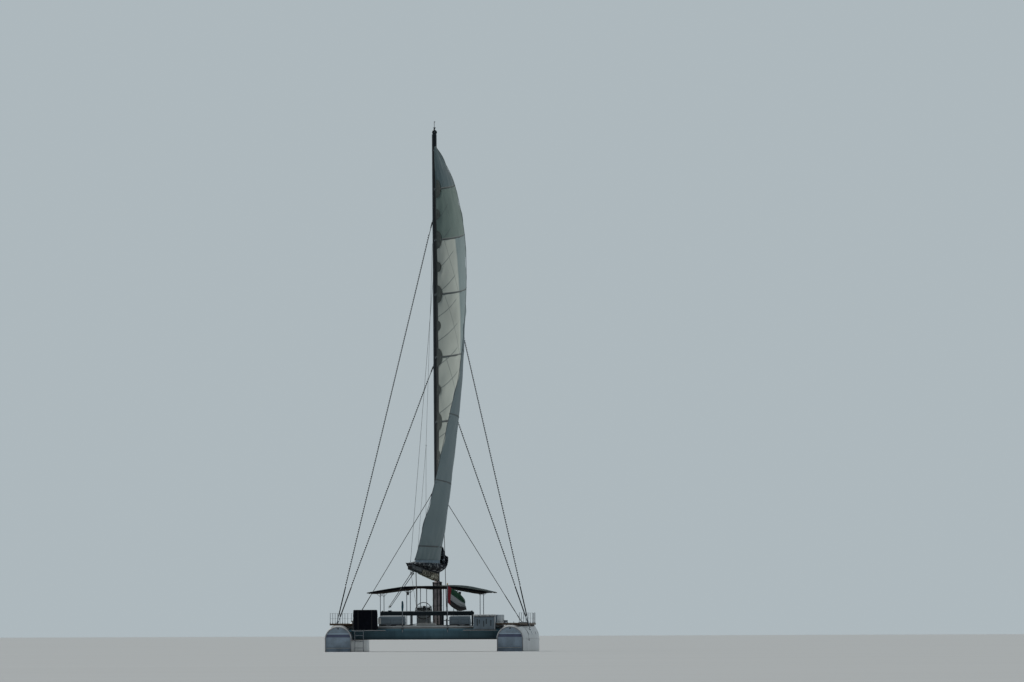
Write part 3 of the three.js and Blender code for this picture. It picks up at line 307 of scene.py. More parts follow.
def plank_finish(color, edge):
    """Weathered decking laid fore and aft: pale top with dark caulking; below the top a dark brown that is painted
    shadow of the gap under the deck's edge.
    """
    finish = Finish("deck_planks", color, 0.68)
    x, y, z = finish.axes()
    caulk = finish.lines(x, 0.075, 0.006, 0.003)
    butt = finish.lines(y + finish.math("FLOOR", x * 13.3333) * 0.77, 2.4, 0.008, 0.004)
    grain = finish.noise(9, 8, stretch=(9, 0.6, 9), rough=0.65)
    board = finish.noise(13.3, 0, stretch=(1, 0.03, 0.1))
    top = finish.step(z, SIDE_DECK_TOP - 0.012, SIDE_DECK_TOP - 0.004)
    wood = finish.mix(shade(color, 0.74), shade(color, 1.12), grain)
    boards = finish.mix(wood, shade(color, 0.6), finish.step(board, 0.5, 0.66) * 0.5)
    gap = finish.math("MAXIMUM", caulk, butt)
    surface = finish.mix(boards, (0.03, 0.03, 0.032), gap)
    # Everything below the deck's top gets the dark brown edge colour: painted shadow.
    side = finish.mix(edge, shade(edge, 0.5), finish.step(grain, 0.4, 0.7))
    return finish.paint(finish.mix(side, surface, top), 0.55 + 0.25 * grain, grain * 0.5 - gap, 0.002, 0.5)


def antifouling_finish(color):
    """Matt bottom paint with cloudy wear and pale scum."""
    finish = Finish("antifouling", color, 0.8)
    cloud = finish.noise(2.2, 6)
    wear = finish.step(finish.noise(7, 7, rough=0.7), 0.52, 0.7)
    tone = finish.mix(color, shade(color, 1.9), finish.step(cloud, 0.4, 0.7))
    return finish.paint(
        finish.mix(tone, (0.2, 0.22, 0.2), wear * 0.5), 0.72 + 0.2 * wear, finish.noise(40, 3), 0.0015, 0.5,
    )


def steel_finish(color):
    """Bright tube with drawn lines, tea stains and salt."""
    finish = Finish("stainless_tube", color, 0.22, 1.0)
    drawn = finish.noise(45, 4, stretch=(1, 1, 0.08))
    stain = finish.step(finish.noise(6, 6), 0.6, 0.78)
    return finish.paint(
        finish.mix(color, (0.42, 0.34, 0.26), stain * 0.5), 0.16 + 0.16 * drawn + 0.3 * stain, drawn, 0.0004, 0.3,
    )


def spar_finish(color):
    """Dark painted spar: long faint streaks, chalked bloom and fine orange peel."""
    finish = Finish("spar_paint", color, 0.45, fixed={"Specular IOR Level": 0.25})
    streak = finish.noise(5, 6, stretch=(3, 3, 0.08))
    bloom = finish.step(finish.noise(1.4, 5), 0.5, 0.75)
    tone = finish.mix(shade(color, 0.8), shade(color, 1.5), streak)
    return finish.paint(
        finish.mix(tone, shade(color, 2.0), bloom * 0.3), 0.36 + 0.2 * streak + 0.12 * bloom,
        finish.noise(120, 2), 0.0005, 0.3,
    )


def bronze_finish(color):
    """Cast bronze with green tarnish in its hollows."""
    finish = Finish("cast_bronze", color, 0.38, 1.0)
    cast = finish.noise(18, 6)
    tone = finish.mix(color, (0.12, 0.22, 0.18), finish.step(cast, 0.5, 0.75) * 0.7)
    return finish.paint(tone, 0.3 + 0.35 * cast, cast, 0.0012, 0.5)


def sailcloth_finish(color, shadow, panel, head):
    """Woven cloth: slanting seams, a line that crosses each panel, painted shade over the leech and the foot, and a
    darker head.
    """
    finish = Finish("sailcloth", color, 0.62, fixed={"Sheen Weight": 0.1})
    u, v, _ = finish.axes("UV")
    height = v * (SAIL_ROWS["z"][-1] - SAIL_ROWS["z"][0])
    across = u * 7.2
    seam = finish.lines(height - across * 0.4, 1.42, 0.045, 0.02) * (1 - finish.step(u, 0.33, 0.37) * 0.85)
    drift = finish.math("FRACT", (15.63 - height) * 0.27027)
    away = finish.math("ABSOLUTE", across - 0.9 - drift * 2.1)
    crossing = (1 - finish.step(away, 0.025, 0.045)) * finish.step(v, 0.1, 0.14)
    stitched = finish.math("MAXIMUM", seam * 0.85, crossing * 0.7)
    weave = finish.math("SINE", across * 900) * finish.math("SINE", height * 900)
    cloud = finish.noise(3.2, 5, stretch=(1, 3, 1), source="UV")
    crease = finish.noise(16, 6, stretch=(0.5, 2.2, 1), source="UV", rough=0.6)
    tone = finish.mix(color, shade(color, 0.88), finish.step(cloud, 0.35, 0.7))
    # Painted shade: the shadow colour covers nearly all the cloth near the foot and, higher up, the cloth aft of 0.44
    # of the chord.
    edge = finish.step(v, 0.1, 0.35) * 0.44
    leech_shade = finish.mix(tone, shadow, finish.step(u - edge, -0.02, 0.03) * 0.9)
    upper = finish.mix(leech_shade, panel, finish.step(v, 0.77, 0.778))
    headed = finish.mix(upper, head, finish.step(v, 0.893, 0.9))
    lined = finish.mix(headed, shade(shadow, 0.4), stitched * 0.75)
    luff = (1 - finish.step(across, 0.22, 0.3)) * finish.step(v, 0.1, 0.2)
    return finish.paint(
        finish.mix(lined, (0.012, 0.02, 0.024), luff), 0.55 + 0.16 * cloud,
        crease * 0.8 + weave * 0.05 + stitched * 0.4, 0.02, 0.5,
    )


def batten_finish(name, color):
    """Matt woven tape or pocket cloth."""
    finish = Finish(name, color, 0.7, fixed={"Sheen Weight": 0.15})
    cloud = finish.noise(6, 5)
    return finish.paint(
        finish.mix(color, shade(color, 1.8), finish.step(cloud, 0.4, 0.75)), 0.6 + 0.2 * cloud,
        finish.noise(160, 2), 0.0012, 0.6,
    )


def canvas_finish(name, color, dust, fade=0.5, glint_share=0.0, grain=5.0):
    """Woven acrylic canvas: thread relief, sun fade, pale dust along its folds (on the pale folds, painted light and
    shade of the crumples instead), and a few pale specks that are painted glints.
    """
    finish = Finish(name, color, 0.88, fixed={"Sheen Weight": 0.03, "Specular IOR Level": 0.12})
    x, y, z = finish.axes()
    warp = finish.math("SINE", (x + y) * 340)
    weft = finish.math("SINE", z * 340)
    fold = finish.noise(grain, 6, rough=0.6)
    cloud = finish.noise(1.4, 5)
    # Crest colour: dust on most canvas, and on the pale folds painted light and shade of the crumples.
    dust_and_light_share = finish.step(fold, 0.5, 0.6) * fade
    tone = finish.mix(color, shade(color, 0.6), finish.step(cloud, 0.4, 0.75))
    dusted_and_lit = finish.mix(tone, dust, dust_and_light_share)
    # Pale specks: painted glints of sun on crinkled cloth.
    specks = finish.step(finish.noise(6, 4, stretch=(1, 0.3, 1.6), rough=0.8), 0.55, 0.6) * glint_share
    return finish.paint(
        finish.mix(dusted_and_lit, (0.62, 0.66, 0.7), specks), 0.78 + 0.2 * cloud, warp * weft * 0.12 + fold, 0.012, 0.5,
    )


def mast_cover_finish(color, edge):
    """Mast coat: two pinkish grey panels with a dark seam between them, and darker down both sides."""
    finish = Finish("mast_coat", color, 0.82, fixed={"Sheen Weight": 0.12})
    x, y, z = finish.axes()
    side = finish.step(finish.math("ABSOLUTE", x), 0.155, 0.17)
    dark = finish.math("MAXIMUM", side, finish.band(x, -0.012, 0.045, 0.008))
    fold = finish.noise(4.5, 6, stretch=(2.4, 2.4, 0.5), rough=0.6)
    tone = finish.mix(color, shade(color, 0.55), finish.step(fold, 0.42, 0.68))
    whole = finish.mix(tone, edge, dark)
    threads = finish.math("SINE", (x + y) * 420) * finish.math("SINE", z * 420)
    return finish.paint(whole, 0.76 + 0.16 * fold, fold + threads * 0.08, 0.014, 0.55)


def rope_finish(name, color, twist=260.0):
    """Laid rope or stranded wire: slanting strands round it, and dirt between them."""
    finish = Finish(name, color, 0.6)
    x, y, z = finish.axes()
    strand = finish.math("SINE", z * twist + (x + y) * twist * 0.8)
    cloud = finish.noise(3, 5)
    tone = finish.mix(shade(color, 0.55), shade(color, 1.35), finish.step(strand, -0.6, 0.8))
    return finish.paint(
        finish.mix(tone, shade(color, 0.6), finish.step(cloud, 0.45, 0.7) * 0.5), 0.5 + 0.3 * cloud, strand,
        0.0015, 0.7,
    )


def flag_finish(hoist, upper, middle, lower):
    """Light bunting in a band at the hoist and three bands along the fly."""
    finish = Finish("flag_bunting", hoist, 0.78, fixed={"Sheen Weight": 0.3})
    u, v, _ = finish.axes("UV")
    threads = finish.math("SINE", u * 2600) * finish.math("SINE", v * 1900)
    low = finish.mix(middle, lower, 1 - finish.step(v, 0.33, 0.336))
    bands = finish.mix(low, upper, finish.step(v, 0.664, 0.67))
    whole = finish.mix(bands, hoist, 1 - finish.step(u, 0.25, 0.254))
    cloud = finish.noise(9, 5, source="UV")
    aged = finish.mix(whole, (0.25, 0.25, 0.24), finish.step(cloud, 0.5, 0.8) * 0.14)
    hem = finish.math("MAXIMUM", finish.lines(v, 1.0, 0.03, 0.004), finish.lines(u, 1.0, 0.024, 0.004))
    return finish.paint(
        finish.mix(aged, shade(middle, 0.8), hem * 0.12), 0.7 + 0.15 * cloud, threads + hem * 2, 0.0012, 0.4,
    )


def lens_finish(name, color, roughness=0.08):
    """Clear or smoked plastic with a faint haze."""
    finish = Finish(name, color, roughness, fixed={"Coat Weight": 0.6, "IOR": 1.49})
    haze = finish.noise(9, 6)
    return finish.paint(
        finish.mix(color, shade(color, 1.8), finish.step(haze, 0.5, 0.8) * 0.5), roughness + 0.16 * haze,
        haze, 0.0004, 0.3,
    )


def rubber_finish(name, color):
    """Black rubber or leather, greyed in places."""
    finish = Finish(name, color, 0.7)
    cloud = finish.noise(12, 6)
    return finish.paint(
        finish.mix(color, shade(color, 2.4), finish.step(cloud, 0.5, 0.8) * 0.5), 0.55 + 0.3 * cloud,
        finish.noise(90, 3), 0.001, 0.5,
    )


def floor_finish(color):
    """The stage's plain floor."""
    finish = Finish("stage_floor", color, 0.6)
    cloud = finish.noise(0.02, 4)
    return finish.paint(finish.mix(color, shade(color, 0.94), cloud), 0.55 + 0.15 * cloud)


FINISHES = {}


def make_finishes(colors):
    """All finishes by the short names that the pieces use."""
    dark = tuple(colors.dark_canvas)
    FINISHES.update({
        "gelcoat": gelcoat_finish(tuple(colors.gelcoat), (0.035, 0.045, 0.06)),
        "moulding": moulding_finish("white_moulding", tuple(colors.moulding)),
        # The rim finish is white gelcoat kept bright as painted highlight on the lit transom edges.
        "rim": moulding_finish("painted_highlight_rim", tuple(colors.rim)),
        # Bench and locker faces: white moulding coloured blue-grey as painted shade.
        "shaded_moulding": moulding_finish("moulding_in_painted_shade", tuple(colors.shaded_moulding)),
        "transom": transom_finish(tuple(colors.transom)),
        "bridge": bridge_finish(tuple(colors.bridge)),
        "nonslip": nonslip_finish(tuple(colors.nonslip)),
        # The second colour is the planks' edge, in painted shadow.
        "plank": plank_finish(tuple(colors.plank), (0.12, 0.08, 0.05)),
        "antifouling": antifouling_finish((0.035, 0.045, 0.06)),
        "steel": steel_finish((0.3, 0.33, 0.36)),
        "spar": spar_finish(tuple(colors.spar)),
        "bronze": bronze_finish((0.5, 0.37, 0.18)),
        # The sail's second colour is its painted shade.
        "sail": sailcloth_finish(tuple(colors.sail), (0.13, 0.205, 0.23), (0.1, 0.16, 0.15), (0.05, 0.1, 0.12)),
        "batten": batten_finish("batten_pocket", (0.035, 0.05, 0.055)),
        "patch": batten_finish("sail_patch", (0.032, 0.046, 0.044)),
        "foot_tape": canvas_finish("foot_tape", (0.24, 0.33, 0.4), (0.35, 0.42, 0.46), 0.4),
        # The bag's pale specks are painted glints.
        "bag": canvas_finish("sail_bag_canvas", dark, (0.03, 0.04, 0.055), 0.6, 0.8, 3.2),
        # Pale folds: cream on the fold crests as painted highlight, dark olive between as painted shade.
        "pale_folds": canvas_finish("pale_folds", (0.1, 0.085, 0.06), (0.8, 0.78, 0.64), 0.95, grain=4.0),
        "box_cover": canvas_finish("box_cover", shade(dark, 0.4), (0.012, 0.014, 0.022), 0.35),
        "canopy_top": canvas_finish("canopy_top", tuple(colors.canopy), (0.26, 0.29, 0.27), 0.35),
        "canopy_under": canvas_finish("canopy_under", (0.035, 0.03, 0.024), (0.07, 0.06, 0.05), 0.3),
        "piping": canvas_finish("pale_piping", (0.2, 0.21, 0.17), (0.3, 0.3, 0.26), 0.3),
        "mast_coat": mast_cover_finish((0.4, 0.36, 0.38), (0.016, 0.018, 0.024)),
        "teal": canvas_finish("teal_canvas", (0.03, 0.1, 0.14), (0.08, 0.15, 0.18), 0.4),
        "wire": rope_finish("rig_wire", (0.014, 0.016, 0.02)),
        "rope": rope_finish("dark_rope", (0.014, 0.016, 0.02), 420.0),
        "line": rope_finish("grey_rope", (0.09, 0.1, 0.11), 420.0),
        "pale_rope": rope_finish("pale_rope", (0.36, 0.37, 0.36), 420.0),
        "net": rope_finish("net_cord", (0.3, 0.32, 0.33), 700.0),
        "flag": flag_finish((0.26, 0.012, 0.025), (0.01, 0.085, 0.04), (0.38, 0.41, 0.42), (0.006, 0.006, 0.008)),
        "lens": lens_finish("smoked_lens", (0.02, 0.028, 0.035)),
        "screen": lens_finish("instrument_glass", (0.012, 0.016, 0.02), 0.05),
        "red_lens": lens_finish("red_lens", (0.4, 0.02, 0.02)),
        "clear_lens": lens_finish("clear_lens", (0.5, 0.52, 0.5), 0.15),
        "rubber": rubber_finish("black_rubber", (0.012, 0.013, 0.015)),
        "hide": rubber_finish("wheel_hide", (0.07, 0.05, 0.04)),
        "floor": floor_finish(tuple(colors.floor)),
    })


# Modelling

def clear_selection():
    """Nothing selected, in object mode."""
    if bpy.context.object is not None and bpy.context.object.mode != "OBJECT":
        bpy.ops.object.mode_set(mode="OBJECT")
    bpy.ops.object.select_all(action="DESELECT")


def take(obj):
    """Selects one object alone and makes it the active one."""
    clear_selection()
    obj.select_set(True)
    bpy.context.view_layer.objects.active = obj
    return obj


def fix_place():
    """Puts the active object's place, turn and size into its mesh."""
    bpy.ops.object.transform_apply(location=True, rotation=True, scale=True)
    return bpy.context.object


def coat(obj, finish):
    """Gives a piece one finish."""
    obj.data.materials.clear()
    obj.data.materials.append(FINISHES[finish])
    return obj


def soften(obj, width, steps=2, sharp=40):
    """Rounds the edges sharper than an angle."""
    take(obj)
    bpy.ops.object.mode_set(mode="EDIT")
    bpy.ops.mesh.select_mode(type="EDGE")
    bpy.ops.mesh.select_all(action="DESELECT")
    bpy.ops.mesh.edges_select_sharp(sharpness=math.radians(sharp))
    bpy.ops.mesh.bevel(offset=width, segments=steps, affect="EDGES", clamp_overlap=True)
    bpy.ops.object.mode_set(mode="OBJECT")
    return obj


def block(low, high, finish, soft=0.0, steps=2):
    """A box between two corners, its edges rounded if soft."""
    clear_selection()
    low, high = Vector(low), Vector(high)
    size = Vector([abs(side) for side in high - low])
    bpy.ops.mesh.primitive_cube_add(size=1, location=(low + high) / 2, scale=size)
    obj = fix_place()
    if soft:
        soften(obj, soft, steps)
    return coat(obj, finish)


def drum(start, end, radius, finish, sides=20, soft=0.0, far=None):
    """A cylinder from start to end, or a cone where far gives another radius there."""
    clear_selection()
    start, end = Vector(start), Vector(end)
    axis = end - start
    turn = axis.to_track_quat("Z", "Y").to_euler()
    bpy.ops.mesh.primitive_cone_add(
        vertices=sides, radius1=radius, radius2=radius if far is None else far, depth=axis.length,
        location=(start + end) / 2, rotation=turn,
    )
    obj = fix_place()
    if soft:
        soften(obj, soft)
    return coat(obj, finish)


def ring(centre, axis, major, minor, finish, sides=36, around=10):
    """A torus round an axis."""
    clear_selection()
    turn = Vector(axis).to_track_quat("Z", "Y").to_euler()
    bpy.ops.mesh.primitive_torus_add(
        location=centre, rotation=turn, major_radius=major, minor_radius=minor,
        major_segments=sides, minor_segments=around,
    )
    return coat(fix_place(), finish)


def ball(centre, radius, finish, scale=(1, 1, 1), sides=20):
    """A sphere, or an ellipsoid where scale says so."""
    clear_selection()
    bpy.ops.mesh.primitive_uv_sphere_add(
        segments=sides, ring_count=sides // 2, radius=radius, location=centre, scale=scale,
    )
    return coat(fix_place(), finish)


def tube(points, radius, finish, detail=2, closed=False):
    """A round bar along points."""
    clear_selection()
    bpy.ops.curve.primitive_bezier_curve_add()
    obj = bpy.context.object
    curve = obj.data
    curve.splines.clear()
    spline = curve.splines.new("POLY")
    spline.points.add(len(points) - 1)
    for made, point in zip(spline.points, points):
        made.co = (*point, 1)
    spline.use_cyclic_u = closed
    curve.bevel_depth = radius
    curve.bevel_resolution = detail
    curve.use_fill_caps = not closed
    bpy.ops.object.convert(target="MESH")
    return coat(bpy.context.object, finish)


def skin(columns, rows, place, finish, around=False):
    """A grid whose points go where place(u, v) says, with u and v from 0 to 1. Around joins its two sides."""
    clear_selection()
    bpy.ops.mesh.primitive_grid_add(x_subdivisions=columns, y_subdivisions=rows, size=1)
    obj = bpy.context.object
    for vertex in obj.data.vertices:
        vertex.co = place(vertex.co.x + 0.5, vertex.co.y + 0.5)
    if around:
        bpy.ops.object.mode_set(mode="EDIT")
        bpy.ops.mesh.select_all(action="SELECT")
        bpy.ops.mesh.remove_doubles(threshold=0.00002)
        bpy.ops.mesh.normals_make_consistent(inside=False)
        bpy.ops.object.mode_set(mode="OBJECT")
    return coat(obj, finish)


def turned(profile, centre, finish, sides=24):
    """A body turned about an upright axis through centre, from (radius, height) pairs."""
    centre = Vector(centre)
    rows = len(profile) - 1

    def place(u, v):
        radius, height = profile[round(v * rows)]
        angle = 2 * math.pi * u
        return centre + Vector((radius * math.cos(angle), radius * math.sin(angle), height))

    return skin(sides, rows, place, finish, around=True)


def thicken(obj, thickness, offset=0.0):
    """Gives a surface thickness."""
    take(obj)
    solid = obj.modifiers.new("Thickness", "SOLIDIFY")
    solid.thickness = thickness
    solid.offset = offset
    solid.use_even_offset = False
    bpy.ops.object.modifier_apply(modifier=solid.name)
    return obj


def carry(obj, matrix):
    """Puts a piece that was made in a fitting's own axes where the fitting is."""
    obj.data.transform(matrix)
    return obj


def again(obj, offset):
    """A copy with its own mesh, moved by offset."""
    take(obj)
    bpy.ops.object.duplicate()
    bpy.ops.transform.translate(value=tuple(offset))
    return fix_place()


def gather(parts, name, smooth=38):
    """Joins parts to one smooth shaded piece."""
    take(parts[0])
    for part in parts[1:]:
        part.select_set(True)
    if len(parts) > 1:
        bpy.ops.object.join()
    obj = bpy.context.object
    obj.name = name
    obj.data.name = name
    if smooth:
        bpy.ops.object.shade_smooth_by_angle(angle=math.radians(smooth))
    return obj


def settle(obj, body, slot=None, nodes=()):
    """The finished piece rides on its body, and stands for the nodes that it covers."""
    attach(obj, body)
    if nodes:
        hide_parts(*nodes)
    return obj


def refine(node, name, finish, soft=0.006, sharp=35, steps=2, smooth=38):
    """A copy of a node with its flat faces made whole and its edges rounded."""
    take(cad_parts[node])
    bpy.ops.object.duplicate()
    obj = bpy.context.object
    obj.parent = None
    for key in list(obj.keys()):
        del obj[key]
    obj.name = name
    obj.data.name = name
    bpy.ops.object.mode_set(mode="EDIT")
    bpy.ops.mesh.select_all(action="SELECT")
    bpy.ops.mesh.remove_doubles(threshold=0.0002)
    bpy.ops.mesh.customdata_custom_splitnormals_clear()
    bpy.ops.mesh.dissolve_limited(angle_limit=math.radians(0.6))
    bpy.ops.object.mode_set(mode="OBJECT")
    if soft:
        soften(obj, soft, steps, sharp)
    take(obj)
    bpy.ops.object.shade_smooth_by_angle(angle=math.radians(smooth))
    return coat(obj, finish)


def plain(node, piece, finish, slot, soft=0.004, sharp=50, steps=2, smooth=38, body="platform"):
    """A node's own shape with whole faces and rounded edges, as a piece by itself."""
    return settle(refine(node, piece, finish, soft, sharp, steps, smooth), body, slot, (node,))


# Shapes

def between(table, key, column, at):
    """A column's value at a place between a table's rows, on a curve that never overshoots them."""
    keys, values = table[key], table[column]
    at = min(max(at, keys[0]), keys[-1])
    row = next(index for index in range(len(keys) - 1) if at <= keys[index + 1])
    steps = [b - a for a, b in zip(keys, keys[1:])]
    rises = [(b - a) / step for a, b, step in zip(values, values[1:], steps)]

    def slope(index):
        if index == 0 or index == len(keys) - 1:
            return rises[0] if index == 0 else rises[-1]
        before, after = rises[index - 1], rises[index]
        return 0.0 if before * after <= 0 else 2 * before * after / (before + after)

    step = steps[row]
    t = (at - keys[row]) / step
    return (
        values[row] * (2 * t**3 - 3 * t**2 + 1) + step * slope(row) * (t**3 - 2 * t**2 + t)
        + values[row + 1] * (3 * t**2 - 2 * t**3) + step * slope(row + 1) * (t**3 - t**2)
    )


def rig(x, y, up):
    """A point in the mast's own axes, carried to where the raked mast stands."""
    cos, sin = math.cos(RAKE), math.sin(RAKE)
    return MAST_FOOT + Vector((x, y * cos - up * sin, y * sin + up * cos))


def mast_up(z):
    """How far along the raked mast a height is."""
    return (z - MAST_FOOT.z) / RIG_UP.z


RIG_AXES = Matrix((
    (1, 0, 0, MAST_FOOT.x),
    (0, math.cos(RAKE), -math.sin(RAKE), MAST_FOOT.y),
    (0, math.sin(RAKE), math.cos(RAKE), MAST_FOOT.z),
    (0, 0, 0, 1),
))


def on_boom(u, v, w):
    """A point by its distance aft of the hinge, to starboard and up, in the boom's own axes."""
    return PIVOT + BOOM_D * u + BOOM_V * v + BOOM_W * w


BOOM_AXES = Matrix((
    (BOOM_V.x, -BOOM_D.x, BOOM_W.x, PIVOT.x),
    (BOOM_V.y, -BOOM_D.y, BOOM_W.y, PIVOT.y),
    (BOOM_V.z, -BOOM_D.z, BOOM_W.z, PIVOT.z),
    (0, 0, 0, 1),
))


def hinge_line(z):
    """The point of the boom's hinge line at a height."""
    return PIVOT + RIG_UP * ((z - PIVOT.z) / RIG_UP.z)


def camber_shape(t):
    """The shape of the sail along its chord, about 1 at its deepest."""
    return 4 * t * (1 - t) * (1.25 - 0.5 * t)


def sail_point(z, t, proud=0.0):
    """A point on the set sail: z is the height of its row at the luff, t the share of the chord."""
    chord = between(SAIL_ROWS, "z", "chord", z)
    angle = math.radians(between(SAIL_ROWS, "z", "angle", z))
    camber = between(SAIL_ROWS, "z", "camber", z)
    aft = Vector((math.sin(angle), -math.cos(angle), 0))
    lee = Vector((math.cos(angle), math.sin(angle), 0))
    rise = 0.06 * chord * t * min(1.0, (z - SAIL_ROWS["z"][0]) / 4.0)
    slope = camber * 4 * (1.25 - 3.5 * t + 1.5 * t * t) if proud else 0.0
    outward = (lee - aft * slope).normalized() * proud
    return (
        hinge_line(z) + Vector((0, LUFF_FORWARD, rise)) + aft * chord * t
        + lee * chord * camber * camber_shape(t) + outward
    )


def hull_section(y, share):
    """Half beam and height of the hull's skin, share 0 at the keel and 1 at the crown."""
    half = between(HULL_STATIONS, "y", "half", y)
    keel = between(HULL_STATIONS, "y", "keel", y)
    crown = between(HULL_STATIONS, "y", "crown", y)
    if share <= 0.5:
        angle = share * math.pi
        return half * math.sin(angle) ** 0.62, BILGE_Z + (keel - BILGE_Z) * math.cos(angle)
    angle = (share - 0.5) * math.pi
    z = SHOULDER_Z + (crown - SHOULDER_Z) * math.sin(angle)
    return half * max(math.cos(angle), 0), min(z, HULL_DECK_Z)


def hull_half_at(y, z):
    """Half beam of the hull's upper side at a height."""
    half = between(HULL_STATIONS, "y", "half", y)
    crown = between(HULL_STATIONS, "y", "crown", y)
    sine = min(max((z - SHOULDER_Z) / (crown - SHOULDER_Z), 0), 1)
    return half * math.sqrt(1 - sine * sine)


def canopy_under(x, y):
    """The height of the canopy's underside."""
    middle = (CANOPY["y0"] + CANOPY["y1"]) / 2
    share = (y - middle) / (CANOPY["y1"] - middle)
    arch, rise = (between(CANOPY_SECTION, "x", key, x) for key in ("z", "rise"))
    return arch + rise * (1 - share * share)


def wrinkle(point, scale, seed=0.0):
    """A repeatable unevenness from -1 to 1 for a place on cloth."""
    return noise.noise(Vector(point) * scale + Vector((seed, seed * 1.7, -seed)))


def spread(low, high, steps):
    """Even steps from low to high, both included."""
    return [low + (high - low) * step / steps for step in range(steps + 1)]


def on_line(points, share):
    """The point a share of the way through points, each step between two of them as long as the next."""
    place = share * (len(points) - 1)
    index = min(int(place), len(points) - 2)
    return points[index].lerp(points[index + 1], place - index)


def boom_ends(low, high):
    """Tests for the two open ends of a skin that runs along the boom."""
    return [lambda co, u=u: abs((co - PIVOT).dot(BOOM_D) - u) < 1e-3 for u in (low, high)]


def rounded(share, half_x, half_y, corner):
    """A point of a rounded rectangle, a share of the way round it from the middle of its +X side."""
    flat_x, flat_y, arc = half_x - corner, half_y - corner, corner * math.pi / 2
    walk = (share % 1.0) * (4 * flat_x + 4 * flat_y + 4 * arc)
    runs = ((flat_y, arc, 2 * flat_x), (0, arc, 2 * flat_y), (0, arc, 2 * flat_x), (0, arc, flat_y))
    centres = ((1, 1), (-1, 1), (-1, -1), (1, -1))
    for index, ((lead, bend, run), (sx, sy)) in enumerate(zip(runs, centres)):
        if walk <= lead:
            return half_x, walk
        walk -= lead
        if walk <= bend:
            angle = (index + walk / bend) * math.pi / 2
            return sx * flat_x + corner * math.cos(angle), sy * flat_y + corner * math.sin(angle)
        walk -= bend
        if walk <= run:
            along = (
                (flat_x - walk, half_y), (-half_x, flat_y - walk),
                (-flat_x + walk, -half_y), (half_x, -flat_y + walk),
            )
            return along[index]
        walk -= run
    return half_x, 0.0


def cut_corners(points, rounds=2):
    """A closed outline with its corners cut off, again and again, into a smooth loop."""
    for _ in range(rounds):
        points = [
            (a[0] * s + b[0] * (1 - s), a[1] * s + b[1] * (1 - s))
            for a, b in zip(points, points[1:] + points[:1]) for s in (0.75, 0.25)
        ]
    return points


def walk_round(points, share):
    """The point a share of the way round a closed outline."""
    lengths = [math.dist(a, b) for a, b in zip(points, points[1:] + points[:1])]
    left = (share % 1.0) * sum(lengths)
    for a, b, length in zip(points, points[1:] + points[:1], lengths):
        if left <= length:
            t = left / length if length else 0
            return a[0] + (b[0] - a[0]) * t, a[1] + (b[1] - a[1]) * t
        left -= length
    return points[0]


def pick(obj, wanted, kind="VERT"):
    """Goes into edit mode with the points or faces selected that are wanted."""
    take(obj)
    bpy.ops.object.mode_set(mode="EDIT")
    bpy.ops.mesh.select_mode(type=kind)
    bpy.ops.mesh.select_all(action="DESELECT")
    bpy.ops.object.mode_set(mode="OBJECT")
    for thing in obj.data.vertices if kind == "VERT" else obj.data.polygons:
        thing.select = wanted(thing)
    bpy.ops.object.mode_set(mode="EDIT")


def close_ends(obj, *ends):
    """Closes a skin's open ends. Each end is a test of a point's place."""
    for end in ends:
        pick(obj, lambda vertex: end(vertex.co))
        bpy.ops.mesh.edge_face_add()
    bpy.ops.mesh.select_all(action="SELECT")
    bpy.ops.mesh.normals_make_consistent(inside=False)
    bpy.ops.object.mode_set(mode="OBJECT")
    return obj


# Hulls and what is under them

def hull_shell(name, side):
    """One hull: a smooth skin from transom to stem, with a recessed transom that has a ledge."""
    stern, bow = HULL_STATIONS["y"][0], HULL_STATIONS["y"][-1]
    x = side * HULL_X

    def place(u, v):
        y = stern + (bow - stern) * (1 - (1 - v) ** 1.25)
        half, z = hull_section(y, 1 - abs(2 * u - 1))
        return Vector((x + (half if u < 0.5 else -half), y, z))

    shell = skin(112, 130, place, "gelcoat", around=True)
    # The recessed transom face takes the transom finish, which is painted shade.
    shell.data.materials.append(FINISHES["transom"])
    close_ends(shell, lambda co: co.y > bow - 0.001, lambda co: co.y < stern + 0.001)
    pick(shell, lambda face: face.center.y < stern + 0.001, "FACE")
    bpy.ops.mesh.inset(thickness=0.05, depth=0)
    bpy.ops.mesh.inset(thickness=0.012, depth=0)
    bpy.ops.transform.translate(value=(0, 0.13, 0))
    shell.active_material_index = 1
    bpy.ops.object.material_slot_assign()
    bpy.ops.object.mode_set(mode="OBJECT")
    edge = [hull_section(stern, share) for share in spread(0.53, 1.0, 24)]
    rim = [(x - half, stern + 0.01, z) for half, z in edge] + [(x + half, stern + 0.01, z) for half, z in edge[-2::-1]]
    parts = [
        shell,
        block((x - 0.69, stern + 0.012, 0.2), (x + 0.69, stern + 0.15, 0.24), "moulding", 0.012),
        block((x - 0.6, stern + 0.03, 0.239), (x + 0.6, stern + 0.12, 0.245), "nonslip"),
        drum((x, -10.35, -0.57), (x, -10.35, -0.3), 0.095, "antifouling", 24, 0.01),
        # The transom's edge in the rim finish: painted highlight.
        tube(rim, 0.02, "rim", 3),
        block((side * 5.54, -3.49, 0.98), (side * 5.765, -3.24, CHAINPLATE_Z), "steel", 0.012),
    ]
    return settle(gather(parts, name + "_shell"), "platform", "gelcoat", (name,))


